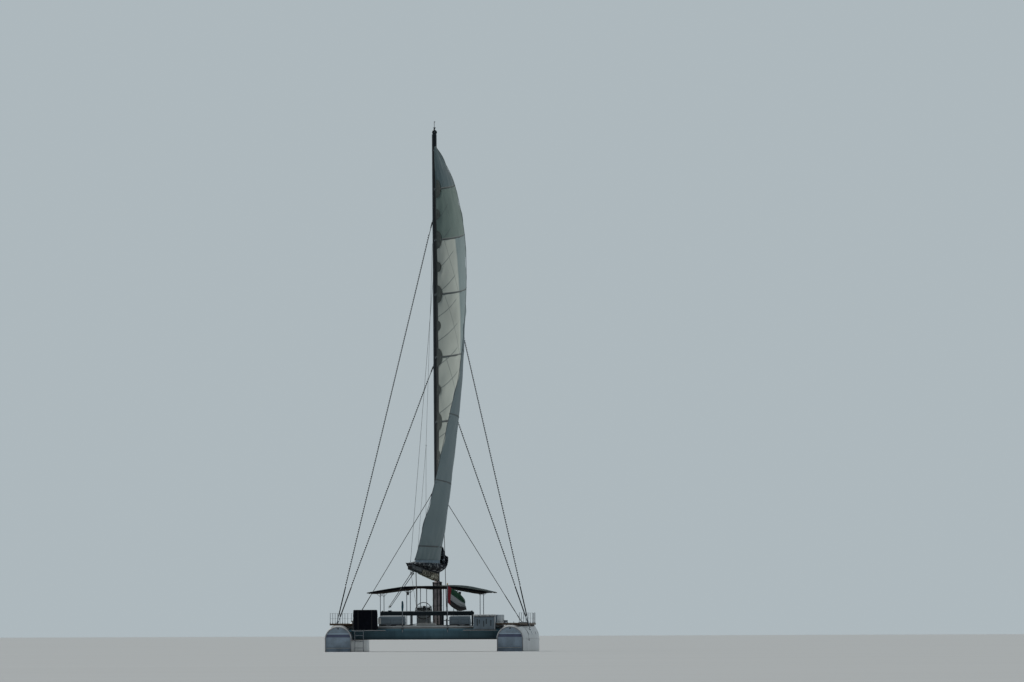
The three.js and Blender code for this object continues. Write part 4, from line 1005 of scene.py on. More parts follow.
def hull_details(name, side):
    """A small outlet high on the transom, oblong side ports, a rubbing strake and a tow eye."""
    x, stern, port_z = side * HULL_X, HULL_STATIONS["y"][0], 1.08
    parts = [
        drum((x, stern + 0.125, 1.36), (x, stern + 0.108, 1.36), 0.035, "lens", 24, 0.003),
        ring((x, stern + 0.12, 1.36), (0, -1, 0), 0.04, 0.008, "steel", 28),
    ]
    for y in (-6.4, -3.2, 0.4, 3.2):
        lean = math.atan2(1.2 - 0.96, hull_half_at(y, 0.96) - hull_half_at(y, 1.2))
        for way in (1, -1):
            place = (
                Matrix.Translation((x + way * (hull_half_at(y, port_z) - 0.002), y, port_z))
                @ Matrix.Rotation(-way * (math.pi / 2 - lean), 4, "Y")
            )
            parts += [
                carry(block((-0.02, -0.21, -0.07), (0.02, 0.21, 0.07), "lens", 0.016), place),
                carry(block((-0.012, -0.235, -0.095), (0.012, 0.235, 0.095), "steel", 0.01), place),
            ]
    for way in (1, -1):
        strake = [(x + way * (hull_half_at(y, 0.75) + 0.004), y, 0.75) for y in spread(-11.2, 10.7, 60)]
        parts.append(tube(strake, 0.016, "moulding", 2))
    parts.append(tube([(x, 10.86, 1.33), (x, 11.18, 1.38), (x, 11.245, 1.3), (x, 11.16, 1.22)], 0.018, "steel", 3))
    return settle(gather(parts, name), "platform", "gelcoat")


def boarding_strap():
    """A dark webbing strap over the starboard hull's shoulder, with a hand loop at its lower end."""
    y = -7.0
    side = [Vector((HULL_X + hull_half_at(y, z) + 0.008, y, z)) for z in spread(1.545, 0.745, 24)]
    line = [Vector((5.3, y, 1.558)), Vector((5.42, y, 1.556))] + [point for point in side if point.x > 5.44]

    def place(u, v):
        return on_line(line, v) + Vector((0, 0.05 * (u - 0.5), 0))

    parts = [
        thicken(skin(4, 60, place, "rubber"), 0.006),
        ring(line[-1] + Vector((0.012, 0, -0.06)), (1, 0, 0), 0.06, 0.012, "rubber", 28),
        block((5.24, y - 0.05, 1.5505), (5.34, y + 0.05, 1.57), "steel", 0.006),
    ]
    return settle(gather(parts, "boarding_strap"), "platform", "sailcloth")


def mooring_cleat(centre, length, along=(0, 1, 0)):
    """A two-horned cleat on its base."""
    centre, along = Vector(centre), Vector(along)
    side = along.cross(Vector((0, 0, 1)))
    half = length / 2
    parts = [tube([
        centre + along * t * half + Vector((0, 0, 0.06 + 0.018 * abs(t) ** 3))
        for t in (-1, -0.7, -0.35, 0, 0.35, 0.7, 1)
    ], 0.013, "steel", 3)]
    for t in (-0.3, 0.3):
        foot = centre + along * t * half
        parts.append(drum(foot, foot + Vector((0, 0, 0.065)), 0.02, "steel", 16, 0.003, far=0.014))
    reach = along * half * 0.55 + side * 0.03
    parts.append(block(centre - reach, centre + reach + Vector((0, 0, 0.012)), "steel", 0.004))
    return parts


def deck_gear(name, side):
    """Cleats, winches and a coaming strip on one side deck."""
    parts = []
    for y, reach in ((-10.2, -0.2), (-4.6, -0.62), (2.6, -0.62), (8.9, -0.05)):
        parts += mooring_cleat((side * (HULL_X + reach), y, SIDE_DECK_TOP), 0.3)
    for y in (-6.9, -5.6):
        parts.append(winch((side * (HULL_X - 0.55), y, SIDE_DECK_TOP), 0.095))
    edge = {"y": (-10.65, 3.5, 7.0, 9.0, 10.35), "in": (0.85, 0.85, 0.56, 0.33, 0.13)}
    parts.append(tube([
        (side * (HULL_X - between(edge, "y", "in", y) + 0.03), y, SIDE_DECK_TOP + 0.012)
        for y in (-10.6, -6.0, -1.0, 3.5, 7.0, 9.0)
    ], 0.014, "moulding", 2))
    return settle(gather(parts, name), "platform", "stainless")


def winch(foot, radius):
    """A drum winch: flared base, waisted drum and a stripping ring."""
    shape = (
        (0.001, 0), (1.25, 0), (1.25, 0.12), (1.05, 0.3), (0.78, 0.55), (0.7, 0.9), (0.74, 1.25), (0.98, 1.5),
        (1.0, 1.56), (0.9, 1.6), (0.9, 1.72), (0.55, 1.78), (0.3, 1.78), (0.3, 1.7), (0.001, 1.7),
    )
    return turned([(r * radius, h * radius) for r, h in shape], foot, "steel", 32)


def underwater(name, finish, body="platform", smooth=50):
    """A keel, rudder, drive leg or propeller with fair edges."""
    return plain(name, name + "_fair", finish, finish, 0.004, 60, 2, smooth, body)


# Bridge, deck and furniture

def bridge_trim():
    """What is fixed to the bridge's aft face: toe rail, a rubbing strip at the bottom, black strips under the toe rail
    and the shelf rims that are painted shadow lines, staff sockets, treads and cleats.
    """
    face = -10.246
    parts = [
        block((-4.35, -10.262, 1.42), (4.35, face, 1.5), "moulding", 0.006),
        # Black strip under the toe rail: painted shadow.
        block((-4.35, -10.26, 1.385), (4.35, face, 1.412), "rubber", 0.004),
        block((-4.3, -10.266, 0.712), (4.3, face, 0.752), "rubber", 0.006),
    ]
    for side in SIDES.values():
        parts += [
            block((side * 2.27, -11.006, 1.236), (side * 4.24, -10.992, 1.266), "moulding", 0.005),
            # Black strip under the shelf rim: painted shadow.
            block((side * 2.27, -11.004, 1.2), (side * 4.24, -10.992, 1.232), "rubber", 0.005),
        ]
        for y in spread(-10.94, -10.412, 4):
            parts.append(block((side * 2.3, y, 1.2695), (side * 4.2, y + 0.11, 1.276), "plank", 0.003))
        x = side * STAFF_X
        for z in (1.33, 1.52):
            parts.append(drum((x, -10.274, z - 0.04), (x, -10.274, z + 0.04), 0.045, "batten", 24, 0.006))
        parts.append(block((x - 0.05, -10.26, 1.29), (x + 0.05, face, 1.56), "batten", 0.006))
        parts += mooring_cleat((side * 2.15, -10.12, DECK_Z), 0.32, (1, 0, 0))
    return settle(gather(parts, "bridge_trim"), "platform", "gelcoat")


def deck_panels():
    """Flush lift-out panels in the deck, with their gaskets and ring pulls, and treads on the aft step."""
    parts = []
    gasket = [rounded(step / 28, 0.36, 0.36, 0.08) for step in range(28)]
    for x, y in ((-2.4, -4.6), (2.4, -4.6), (-2.2, 1.2), (2.2, 1.2), (0.9, -7.1), (-1.5, -7.1)):
        parts.append(tube([(x + a, y + b, DECK_Z + 0.001) for a, b in gasket], 0.009, "rubber", 1, closed=True))
        for at in (x - 0.26, x + 0.26):
            parts.append(drum((at, y, DECK_Z - 0.002), (at, y, DECK_Z + 0.006), 0.035, "steel", 20, 0.002))
            parts.append(ring((at, y, DECK_Z + 0.008), (0, 0, 1), 0.022, 0.004, "steel", 20, 6))
    for y in (-10.17, -10.05, -9.93):
        for low, high, z in ((-1.6, -0.62, 1.5445), (0.74, 1.78, 1.5445), (-0.36, 0.5, 1.6695)):
            parts.append(block((low, y - 0.035, z), (high, y + 0.035, z + 0.0065), "plank", 0.003))
    return settle(gather(parts, "deck_panels"), "platform", "deck_coat")


def gap(points):
    """A thin dark line round a lid or a panel."""
    return tube(points, 0.006, "rubber", 1, closed=True)


def bench_fittings():
    """Locker lids under the seats with a dark gap round each, finger pulls, and a pale back board aft."""
    parts = []

    def lid(low_x, high_x, low_y, high_y, z):
        inset = 0.03
        corners = (
            (low_x + inset, low_y + inset), (high_x - inset, low_y + inset),
            (high_x - inset, high_y - inset), (low_x + inset, high_y - inset),
        )
        middle = (low_x + high_x) / 2
        pull = (middle - 0.05, high_y - 0.075, z - 0.001), (middle + 0.05, high_y - 0.05, z + 0.008)
        parts.extend([gap([(x, y, z + 0.001) for x, y in corners]), block(*pull, "steel", 0.004)])

    for low_x, high_x in ((-2.75, -1.2), (1.38, 2.6)):
        middle = (low_x + high_x) / 2
        for a, b in ((low_x + 0.08, middle - 0.08), (middle + 0.08, high_x - 0.08)):
            lid(a - 0.08, b + 0.08, -9.44, -8.95, 1.93)
            parts.append(gap([(x, -9.701, z) for x, z in ((a, 1.66), (b, 1.66), (b, 1.86), (a, 1.86))]))
        parts += [
            block((low_x + 0.02, -8.94, 1.92), (high_x - 0.02, -8.87, 2.1), "moulding", 0.02, 3),
            block((low_x + 0.03, -8.95, 1.935), (high_x - 0.03, -8.938, 1.985), "rubber", 0.004),
            # Black strip at the foot of the bench face: painted shadow of the toe gap.
            block((low_x + 0.04, -9.712, 1.52), (high_x - 0.04, -9.698, 1.6), "rubber", 0.004),
        ]
    parts.append(block((-2.79, -9.71, 1.62), (-2.6, -9.6, 1.99), "moulding", 0.03, 3))
    for side in SIDES.values():
        low_x, high_x = sorted((side * 3.5, side * 3.9))
        for y in spread(-7.88, -2.87, 3):
            lid(low_x, high_x, y, y + 1.65, 1.95)
            panel = ((0.1, 1.58), (1.5, 1.58), (1.5, 1.86), (0.1, 1.86))
            parts.append(gap([(side * 3.479, y + a, z) for a, z in panel]))
    return settle(gather(parts, "bench_fittings"), "platform", "gelcoat")


def box_cover():
    """The canvas cover of the box on the port shelf: full sides, soft shoulders and a slack top."""
    centre = Vector((-3.47, -10.63, 0))
    half_x, half_y, corner = 0.68, 0.35, 0.075
    low, high, shoulder, turn_share = 1.272, 2.455, 0.05, 0.68

    def place(u, v):
        if v < turn_share:
            t = v / turn_share
            z = low + (high - shoulder - low) * t
            x, y = rounded(u, half_x, half_y, corner)
            out = 0.004 + 0.02 * math.sin(math.pi * min(1, t * 1.05))
            out += 0.012 * wrinkle((x * 1.4, y * 1.4, z * 0.6), 3.2)
            out += (0.014 * math.sin(u * 2 * math.pi * 17 + 2 * wrinkle((x, y, z), 1.3, 5.0))) * (1 - t) ** 2
            out += 0.01 * (1 - abs(wrinkle((x * 0.7, y * 0.7, z * 2.2), 3.8, 9.0)) * 3) * (0.3 + 0.7 * t)
            return centre + Vector((x * (1 + out / half_x), y * (1 + out / half_y), z))
        t = (v - turn_share) / (1 - turn_share)
        if t < 0.3:
            angle = t / 0.3 * math.pi / 2
            inset, z = shoulder * (1 - math.cos(angle)), high - shoulder + shoulder * math.sin(angle)
            return centre + Vector((*rounded(u, half_x - inset, half_y - inset, corner), z))
        scale = 1 - (t - 0.3) / 0.7
        x, y = rounded(u, half_x - shoulder, half_y - shoulder, corner)
        slack = 0.035 * (1 - scale) * (1.2 - (1 - scale))
        ridge = 0.012 * wrinkle((x * scale, y * scale, 0), 3.0, 3.0)
        return centre + Vector((x * scale, y * scale, high - slack + ridge * min(1, 4 * scale * (1 - scale) + 0.2)))

    cover = skin(144, 84, place, "box_cover", around=True)
    thicken(cover, 0.006, -1)
    gather([cover], "box_cover", 60)
    parts = [tube([
        centre + Vector((*(1.012 * c for c in rounded(step / 60, half_x, half_y, corner)), low + 0.02))
        for step in range(60)
    ], 0.011, "rope", 2, closed=True)]
    rise = ((half_y + 0.034, 1.3), (half_y + 0.04, 1.9), (half_y + 0.03, 2.36), (half_y - 0.01, 2.452))
    over = [(-y, z) for y, z in rise] + [(0, 2.446)] + list(rise[::-1])
    for x in (-0.4, 0.4):
        points = [centre + Vector((x, y, z)) for y, z in over]

        def web(u, v, points=points):
            return on_line(points, v) + Vector((0.045 * (u - 0.5), 0, 0))

        parts.append(thicken(skin(2, 48, web, "rubber"), 0.005))
    trim = gather(parts, "box_cover_straps")
    settle(trim, "platform", "dark_canvas")
    settle(cover, "platform", "dark_canvas", ("covered_box",))


def locker_gear():
    """Dark slots, a dark strip under the lid, a dark strip at the foot that is painted shadow and a pale edge strip
    that is painted highlight on the locker's aft face, and its hinge leaves.
    """
    y = -10.961
    parts = [
        # Pale strip at the face's edge: painted highlight.
        block((4.1, y - 0.006, 1.3), (4.145, y + 0.01, 2.04), "moulding", 0.01),
        # Dark strip at the foot: painted shadow.
        block((2.92, y - 0.005, 1.275), (4.12, y + 0.01, 1.31), "rubber", 0.008),
        block((2.93, y - 0.004, 2.0), (4.1, y + 0.01, 2.045), "rubber", 0.008),
    ]
    for x, low, high in ((3.1, 1.5, 1.9), (3.22, 1.62, 1.86), (3.48, 1.45, 1.8), (3.63, 1.6, 1.92), (3.9, 1.5, 1.84)):
        parts.append(block((x - 0.03, y - 0.004, low), (x + 0.03, y + 0.008, high), "batten", 0.008))
    for x in (3.2, 3.52, 3.84):
        parts.append(block((x - 0.05, -10.292, 1.95), (x + 0.05, -10.284, 2.04), "steel", 0.003))
        parts.append(drum((x - 0.05, -10.28, 2.06), (x + 0.05, -10.28, 2.06), 0.012, "steel", 16, 0.002))
    return settle(gather(parts, "locker_gear"), "platform", "gelcoat")


def locker_top():
    """The locker's lid with ribs, a handle and two latches."""
    parts = [refine("locker_lid", "locker_top", "moulding", 0.022, 50, 3)]
    for x in spread(3.07, 3.95, 4):
        parts.append(block((x, -10.9, 2.155), (x + 0.05, -10.34, 2.168), "moulding", 0.006))
    handle = ((3.36, -10.98), (3.36, -11.03), (3.66, -11.03), (3.66, -10.98))
    parts.append(tube([(x, y, 2.11) for x, y in handle], 0.012, "steel", 3))
    for x in (3.2, 3.84):
        parts.append(block((x - 0.03, -10.998, 2.065), (x + 0.03, -10.982, 2.135), "steel", 0.004))
    return settle(gather(parts, "locker_top"), "locker_lid", "gelcoat", ("locker_lid",))


def console_gear():
    """Round gauges and a display on the sloping dash, a compass on the brow, and the engine levers."""
    foot, head = Vector((0, -3.65, 2.42)), Vector((0, -3.31, 2.6))
    run = head - foot
    out = Vector((0, -run.z, run.y)).normalized()
    parts = []

    def on_dash(x, t, proud=0.0):
        return Vector((x, 0, 0)) + foot + run * t + out * proud

    for x in (-0.82, -0.68, -0.32, -0.18):
        parts += [
            drum(on_dash(x, 0.42, -0.01), on_dash(x, 0.42, 0.012), 0.058, "steel", 28, 0.004),
            drum(on_dash(x, 0.42, 0.008), on_dash(x, 0.42, 0.016), 0.05, "screen", 28, 0.002),
            tube([on_dash(x, 0.42, 0.018), on_dash(x + 0.02, 0.5, 0.018)], 0.002, "moulding", 1),
        ]
    tilt = Matrix.Translation(on_dash(-0.5, 0.5)) @ Matrix.Rotation(math.atan2(run.z, run.y), 4, "X")
    parts += [
        carry(block((-0.115, -0.1, -0.01), (0.115, 0.1, 0.026), "rubber", 0.01), tilt),
        carry(block((-0.1, -0.08, 0.02), (0.1, 0.08, 0.029), "screen", 0.003), tilt),
        drum((-0.5, -3.23, 2.595), (-0.5, -3.23, 2.64), 0.075, "rubber", 28, 0.006),
        ball((-0.5, -3.23, 2.64), 0.066, "screen", (1, 1, 0.8), 24),
        ring((-0.5, -3.23, 2.645), (0, 0, 1), 0.07, 0.007, "steel", 32),
    ]
    for x in (-0.17, -0.13):
        parts.append(tube([(x, -3.52, 2.47), (x, -3.56, 2.56), (x, -3.55, 2.6)], 0.008, "steel", 3))
        parts.append(ball((x, -3.55, 2.61), 0.02, "rubber", sides=14))
    hatch = ((-0.78, 1.62), (-0.22, 1.62), (-0.22, 2.1), (-0.78, 2.1))
    rail = ((-3.6, 2.2), (-3.6, 2.5), (-3.22, 2.66))
    parts += [
        block((-0.2, -3.6, 2.44), (-0.1, -3.46, 2.5), "rubber", 0.012),
        gap([(x, -3.651, z) for x, z in hatch]),
        block((-0.26, -3.664, 1.83), (-0.235, -3.648, 1.91), "steel", 0.004),
        tube([(-0.94, y, z) for y, z in rail] + [(-0.06, y, z) for y, z in rail[::-1]], 0.014, "steel", 3),
    ]
    return settle(gather(parts, "console_gear"), "platform", "gelcoat")


def helm_wheel():
    """The steering wheel: a leather-bound rim, six tapered spokes and a domed hub with its shaft."""
    centre = Vector((-0.5, -3.85, 2.4))
    radius = 0.48
    parts = [ring(centre, (0, 1, 0), radius, 0.019, "hide", 96, 14)]
    for step in range(6):
        angle = step * math.pi / 3
        way = Vector((math.cos(angle), 0, math.sin(angle)))
        parts.append(drum(centre + way * 0.04, centre + way * (radius - 0.012), 0.015, "steel", 16, far=0.009))
        parts.append(drum(centre + way * (radius - 0.05), centre + way * (radius - 0.016), 0.014, "steel", 16, 0.002))
    for step in range(0, 36, 2):
        angle = math.pi / 2 + (step - 17.5) * 0.008
        way = Vector((math.cos(angle), 0, math.sin(angle)))
        parts.append(ring(centre + way * radius, way.cross(Vector((0, 1, 0))), 0.0205, 0.003, "pale_rope", 14, 6))
    hub = centre + Vector((0, -0.04, 0))
    parts.append(drum(hub, centre + Vector((0, 0.1995, 0)), 0.055, "steel", 32, 0.006))
    parts.append(ball(hub, 0.045, "rubber", (1, 0.5, 1), 24))
    return settle(gather(parts, "helm_wheel", 50), "steering_wheel", "stainless", ("steering_wheel",))


def traveller_track():
    """The track on the beam, the car's wheels and sheaves, end stops and the car's control lines."""
    y, top = TRAVELLER_Y, 2.33
    parts = [
        block((-2.7, y - 0.022, top - 0.002), (2.7, y + 0.022, top + 0.028), "steel", 0.004),
        block((-2.7, y - 0.036, top + 0.02), (2.7, y + 0.036, top + 0.03), "steel", 0.004),
    ]
    for x in (-2.62, 2.62):
        parts.append(block((x - 0.04, y - 0.045, top), (x + 0.04, y + 0.045, top + 0.07), "rubber", 0.008))
        for near, far in ((y - 0.055, y - 0.075), (y + 0.055, y + 0.075)):
            parts.append(drum((x, near, top + 0.03), (x, far, top + 0.03), 0.035, "rubber", 20, 0.004))
    for way in (-1, 1):
        wheel_y, line_y, car_y = y + way * 0.045, y + way * 0.065, y + way * 0.05
        parts.append(block((-2.3, wheel_y - 0.012, top + 0.005), (-2.06, wheel_y + 0.012, top + 0.06), "steel", 0.006))
        for end, far in ((-2.62, -2.3), (2.62, -2.06)):
            parts.append(drum((end, line_y, top + 0.045), (far, car_y, top + 0.04), 0.006, "pale_rope", 10))
    for x in (-2.25, -2.11):
        parts.append(drum((x, y - 0.1, 2.4), (x, y + 0.1, 2.4), 0.028, "steel", 20, 0.004))
    for x in (-2.65, -0.9, 0.9, 2.65):
        parts.append(block((x - 0.1, y - 0.1, 1.5), (x + 0.1, y + 0.1, 1.515), "spar", 0.005))
        for a, b in ((-0.07, -0.07), (-0.07, 0.07), (0.07, -0.07), (0.07, 0.07)):
            parts.append(drum((x + a, y + b, 1.51), (x + a, y + b, 1.526), 0.011, "steel", 6))
    return settle(gather(parts, "traveller_track"), "platform", "spar_paint")


# Canopy

def canopy_cloth():
    """One arched sheet with sewn seams over the frames, a little slack between them and fluted at its hems."""
    depth = CANOPY["y1"] - CANOPY["y0"]

    def place(u, v):
        x = (u - 0.5) * 2 * CANOPY_HALF
        y = CANOPY["y0"] + depth * v
        slack = -0.02 * math.sin(math.pi * v) * math.sin(math.pi * (u * 5 % 1)) ** 2
        flute = 0.012 * math.sin(u * 2 * math.pi * 15) * (abs(2 * v - 1) ** 12)
        wave = 0.008 * wrinkle((x, y, 0), 0.9) + 0.005 * wrinkle((x * 0.4, y * 2, 0), 2.0, 4.0)
        tuck = -0.006 * max(0, 1 - abs((u * 5 + 0.5) % 1 - 0.5) * 40)
        return Vector((x, y, canopy_under(x, y) + 0.016 + slack + flute + wave + tuck))

    cloth = skin(160, 72, place, "canopy_top")
    thicken(cloth, 0.012)
    gather([cloth], "canopy_cloth", 60)
    settle(cloth, "platform", "canopy_canvas", ("canopy",))
    return cloth


def canopy_valance():
    """A dark hem that hangs from the cloth's edges, deeper between the posts, under a rolled edge."""
    parts = []
    for y, depth, out in ((CANOPY["y0"], 1.0, -0.008), (CANOPY["y1"], 0.6, 0.008)):
        for low, high, finish in ((0.0, 0.5, "canopy_under"), (0.5, 1.0, "box_cover")):
            def hang(u, v, y=y, depth=depth, out=out, low=low, high=high):
                x = (u - 0.5) * 2 * CANOPY_HALF
                down = 1 - (low + (high - low) * v)
                wave = 0.012 * math.sin(u * 2 * math.pi * 22 + 2 * wrinkle((x, y, 0), 1.2)) * down
                z = canopy_under(x, y) + 0.045 - depth * between(CANOPY_HEM, "x", "drop", x) * down
                return Vector((x, y + out + wave, z))

            parts.append(thicken(skin(240, 4, hang, finish), 0.006))
        for low, high, finish in ((-CANOPY_HALF, 0.3, "canopy_top"), (0.3, CANOPY_HALF, "piping")):
            edge = [(x, y + out, canopy_under(x, y) + 0.05) for x in spread(low, high, 60)]
            parts.append(tube(edge, 0.012, finish, 2))
    for x, finish in ((-CANOPY_HALF, "box_cover"), (CANOPY_HALF, "piping")):
        edge = [(x, y, canopy_under(x, y) + 0.02) for y in spread(CANOPY["y0"], CANOPY["y1"], 40)]
        parts.append(tube(edge, 0.014, finish, 2))
    return settle(gather(parts, "canopy_valance", 60), "platform", "canopy_canvas")


def canopy_frame(name, y, posts, lamps):
    """One bent tube under the cloth on its posts with deck flanges, and with lamps on the forward one."""
    drop = 0.03
    parts = [tube([(x, y, canopy_under(x, y) - drop + 0.004) for x in spread(-3.6, 3.6, 64)], 0.025, "steel", 4)]
    for x in posts:
        top = canopy_under(x, y) - drop
        parts += [
            drum((x, y, DECK_Z + 0.004), (x, y, top), 0.0225, "steel", 20),
            drum((x, y, DECK_Z + 0.0005), (x, y, DECK_Z + 0.012), 0.062, "steel", 28, 0.004),
            drum((x, y, DECK_Z + 0.01), (x, y, DECK_Z + 0.06), 0.029, "steel", 20, 0.004),
            drum((x, y, top - 0.075), (x, y, top), 0.028, "steel", 20, 0.004),
        ]
        for far in (x - 0.3, x + 0.3) if abs(x) > 1 else ():
            parts.append(tube([(x, y, top - 0.3), (far, y, canopy_under(far, y) - drop - 0.01)], 0.012, "steel", 2))
    for x in (-1.53, 1.53) if lamps else ():
        bail = ((x - 0.076, 3.41), (x - 0.076, 3.53), (x + 0.076, 3.53), (x + 0.076, 3.41))
        parts += [
            block((x - 0.07, y - 0.045, 3.32), (x + 0.07, y + 0.055, 3.5), "rubber", 0.02),
            block((x - 0.05, y - 0.06, 3.34), (x + 0.05, y - 0.035, 3.48), "lens", 0.012),
            tube([(at, y, z) for at, z in bail], 0.008, "steel", 2),
            drum((x, y, 3.53), (x, y, canopy_under(x, y) - drop + 0.01), 0.014, "steel", 16),
        ]
    return settle(gather(parts, name + "_tubes", 45), "platform", "stainless", (name,))


def canopy_battens(count):
    """Fore and aft stiffeners under the cloth, clipped over both frames."""
    parts = []
    for x in spread(-3.58, 3.58, count - 1):
        line = [(x, y, canopy_under(x, y) - 0.006) for y in spread(-6.17, -1.53, 32)]
        parts.append(tube(line, 0.013, "steel", 3))
        for y in FRAME_YS:
            parts.append(ring((x, y, canopy_under(x, y) - 0.028), (1, 0, 0), 0.031, 0.007, "rubber", 24, 8))
    return settle(gather(parts, "canopy_battens", 45), "platform", "stainless")


# Mast and standing rigging

def mast_tube():
    """The mast: an oval extrusion with its track, halyard exits, tangs and a light on its forward face."""
    def place(u, v):
        angle = 2 * math.pi * u
        bulge = abs(math.sin(angle)) ** 0.9 * math.copysign(1, math.sin(angle))
        return Vector((MAST_HALF[0] * math.cos(angle), MAST_HALF[1] * bulge, 0.0005 + (MAST_LENGTH - 0.0005) * v))

    tube_skin = skin(48, 60, place, "spar", around=True)
    parts = [
        close_ends(tube_skin, lambda co: co.z < 0.001, lambda co: co.z > MAST_LENGTH - 0.001),
        block((-0.03, -0.262, 3.0), (0.03, -0.215, MAST_LENGTH - 0.15), "spar", 0.004),
        block((-0.012, -0.2645, 3.0), (0.012, -0.25, MAST_LENGTH - 0.15), "rubber"),
    ]
    for side in (-1, 1):
        for up in (3.2, 3.75, 4.3):
            parts.append(block((side * 0.12, 0.02, up), (side * 0.146, 0.055, up + 0.16), "rubber", 0.006))
        for up in map(mast_up, TANG_ZS):
            parts.append(block((side * 0.1, -0.03, up - 0.22), (side * 0.152, 0.05, up + 0.1), "steel", 0.01))
        for y in (0.03, 0.055):
            foot, head = (side * 0.148, y, 3.1), (side * 0.075, 0.12 + y, MAST_LENGTH - 0.05)
            parts.append(drum(foot, head, 0.006, "pale_rope", 8))
    up = mast_up(15.2)
    parts.append(block((-0.06, 0.21, up), (0.06, 0.3, up + 0.16), "rubber", 0.02))
    parts.append(block((-0.045, 0.285, up + 0.02), (0.045, 0.312, up + 0.13), "clear_lens", 0.01))
    whole = carry(gather(parts, "mast_tube", 45), RIG_AXES)
    return settle(whole, "platform", "spar_paint", ("mast",))


def mast_coat():
    """The padded coat round the mast's foot: pleated at its lashed top and slack above the deck."""
    top = (4.15 - DECK_Z) / math.cos(RAKE)

    def place(u, v):
        up = 0.022 + (top - 0.022) * v
        x, y = rounded(u, 0.255, 0.335, 0.12)
        belly = 0.012 * math.sin(math.pi * v) + 0.008 * wrinkle((x * 2, y * 2, up * 0.5), 2.0)
        crease = 0.012 * wrinkle((math.atan2(y, x) * 1.2, up * 1.1, 0), 3.0, 7.0)
        pleat = 0.011 * math.sin(u * 2 * math.pi * 22) * max(0, (v - 0.8) / 0.2) ** 0.7
        t = max(0, (v - 0.955) / 0.045)
        gathered = t * t * (3 - 2 * t)
        scale = 1 + (belly + crease + pleat * (1 - gathered)) / math.hypot(x, y)
        angle = math.atan2(y / 0.335, x / 0.255)
        mast = Vector((0.152 * math.cos(angle), 0.242 * math.sin(angle), up))
        return Vector((x * scale, y * scale, up)).lerp(mast, gathered * 0.92)

    cover = skin(132, 96, place, "mast_coat", around=True)
    thicken(cover, 0.008, -1)
    carry(gather([cover], "mast_coat", 60), RIG_AXES)
    lash = []
    for up in (2.53, 2.555, 2.58, 0.07, 0.1, 1.2):
        grow = 0.006 if up > 2 else 0.014
        loop = [(*rounded(step / 48, 0.262 + grow, 0.342 + grow, 0.12), up) for step in range(48)]
        lash.append(tube(loop, 0.009, "rope", 2, closed=True))
    for up in spread(0.15, 2.391, 27):
        lash.append(tube([(-0.03, -0.352, up), (0.03, -0.356, up + 0.04)], 0.006, "pale_rope", 2))
    trim = carry(gather(lash, "mast_coat_lashing"), RIG_AXES)
    settle(trim, "platform", "mast_cover")
    settle(cover, "platform", "mast_cover", ("mast_casing",))


def masthead():
    """The crane with its sheaves, a lifting eye under a flared cap, the wind vane and its arm, and a light."""
    crane = refine("masthead", "masthead_crane", "spar", 0.008, 50, 2, 45)
    top = MAST_LENGTH
    parts = [
        ring((0.04, -0.33, top + 0.13), (0, 1, 0), 0.1, 0.046, "spar", 36, 12),
        drum((0.04, -0.33, top + 0.26), (0.04, -0.33, top + 0.36), 0.022, "spar", 20),
        drum((0.04, -0.33, top + 0.34), (0.04, -0.33, top + 0.42), 0.035, "spar", 28, 0.006, far=0.085),
        drum((0, 0.03, top + 0.22), (0, 0.03, top + 0.3), 0.045, "clear_lens", 24, 0.006),
        drum((0, 0.03, top + 0.3), (0, 0.03, top + 0.32), 0.048, "rubber", 24, 0.004),
        drum((0, 0.4, top + 0.69), (0, 0.4, top + 0.73), 0.012, "rubber", 12),
        block((-0.003, -0.055, top + 0.7), (0.003, 0.06, top + 0.76), "red_lens", 0.002),
    ]
    for y in (-0.24, 0.22):
        parts.append(drum((-0.03, y, top + 0.06), (0.03, y, top + 0.06), 0.058, "rubber", 24, 0.004))
        parts.append(drum((-0.09, y, top + 0.06), (0.09, y, top + 0.06), 0.014, "steel", 16, 0.002))
    for step in range(3):
        angle = step * math.pi * 2 / 3
        cup = (0.04 * math.cos(angle), 0.4 + 0.04 * math.sin(angle), top + 0.725)
        parts.append(ball(cup, 0.018, "rubber", sides=12))
    gear = carry(gather(parts, "masthead_gear", 45), RIG_AXES)
    return settle(gather([crane, gear], "masthead_crane", 45), "platform", "spar_paint", ("masthead",))


def row_of(obj, step, count):
    """Repeats a small piece along a line."""
    take(obj)
    line = obj.modifiers.new("Row", "ARRAY")
    line.use_relative_offset = False
    line.use_constant_offset = True
    line.constant_offset_displace = step
    line.count = count
    bpy.ops.object.modifier_apply(modifier=line.name)
    return obj


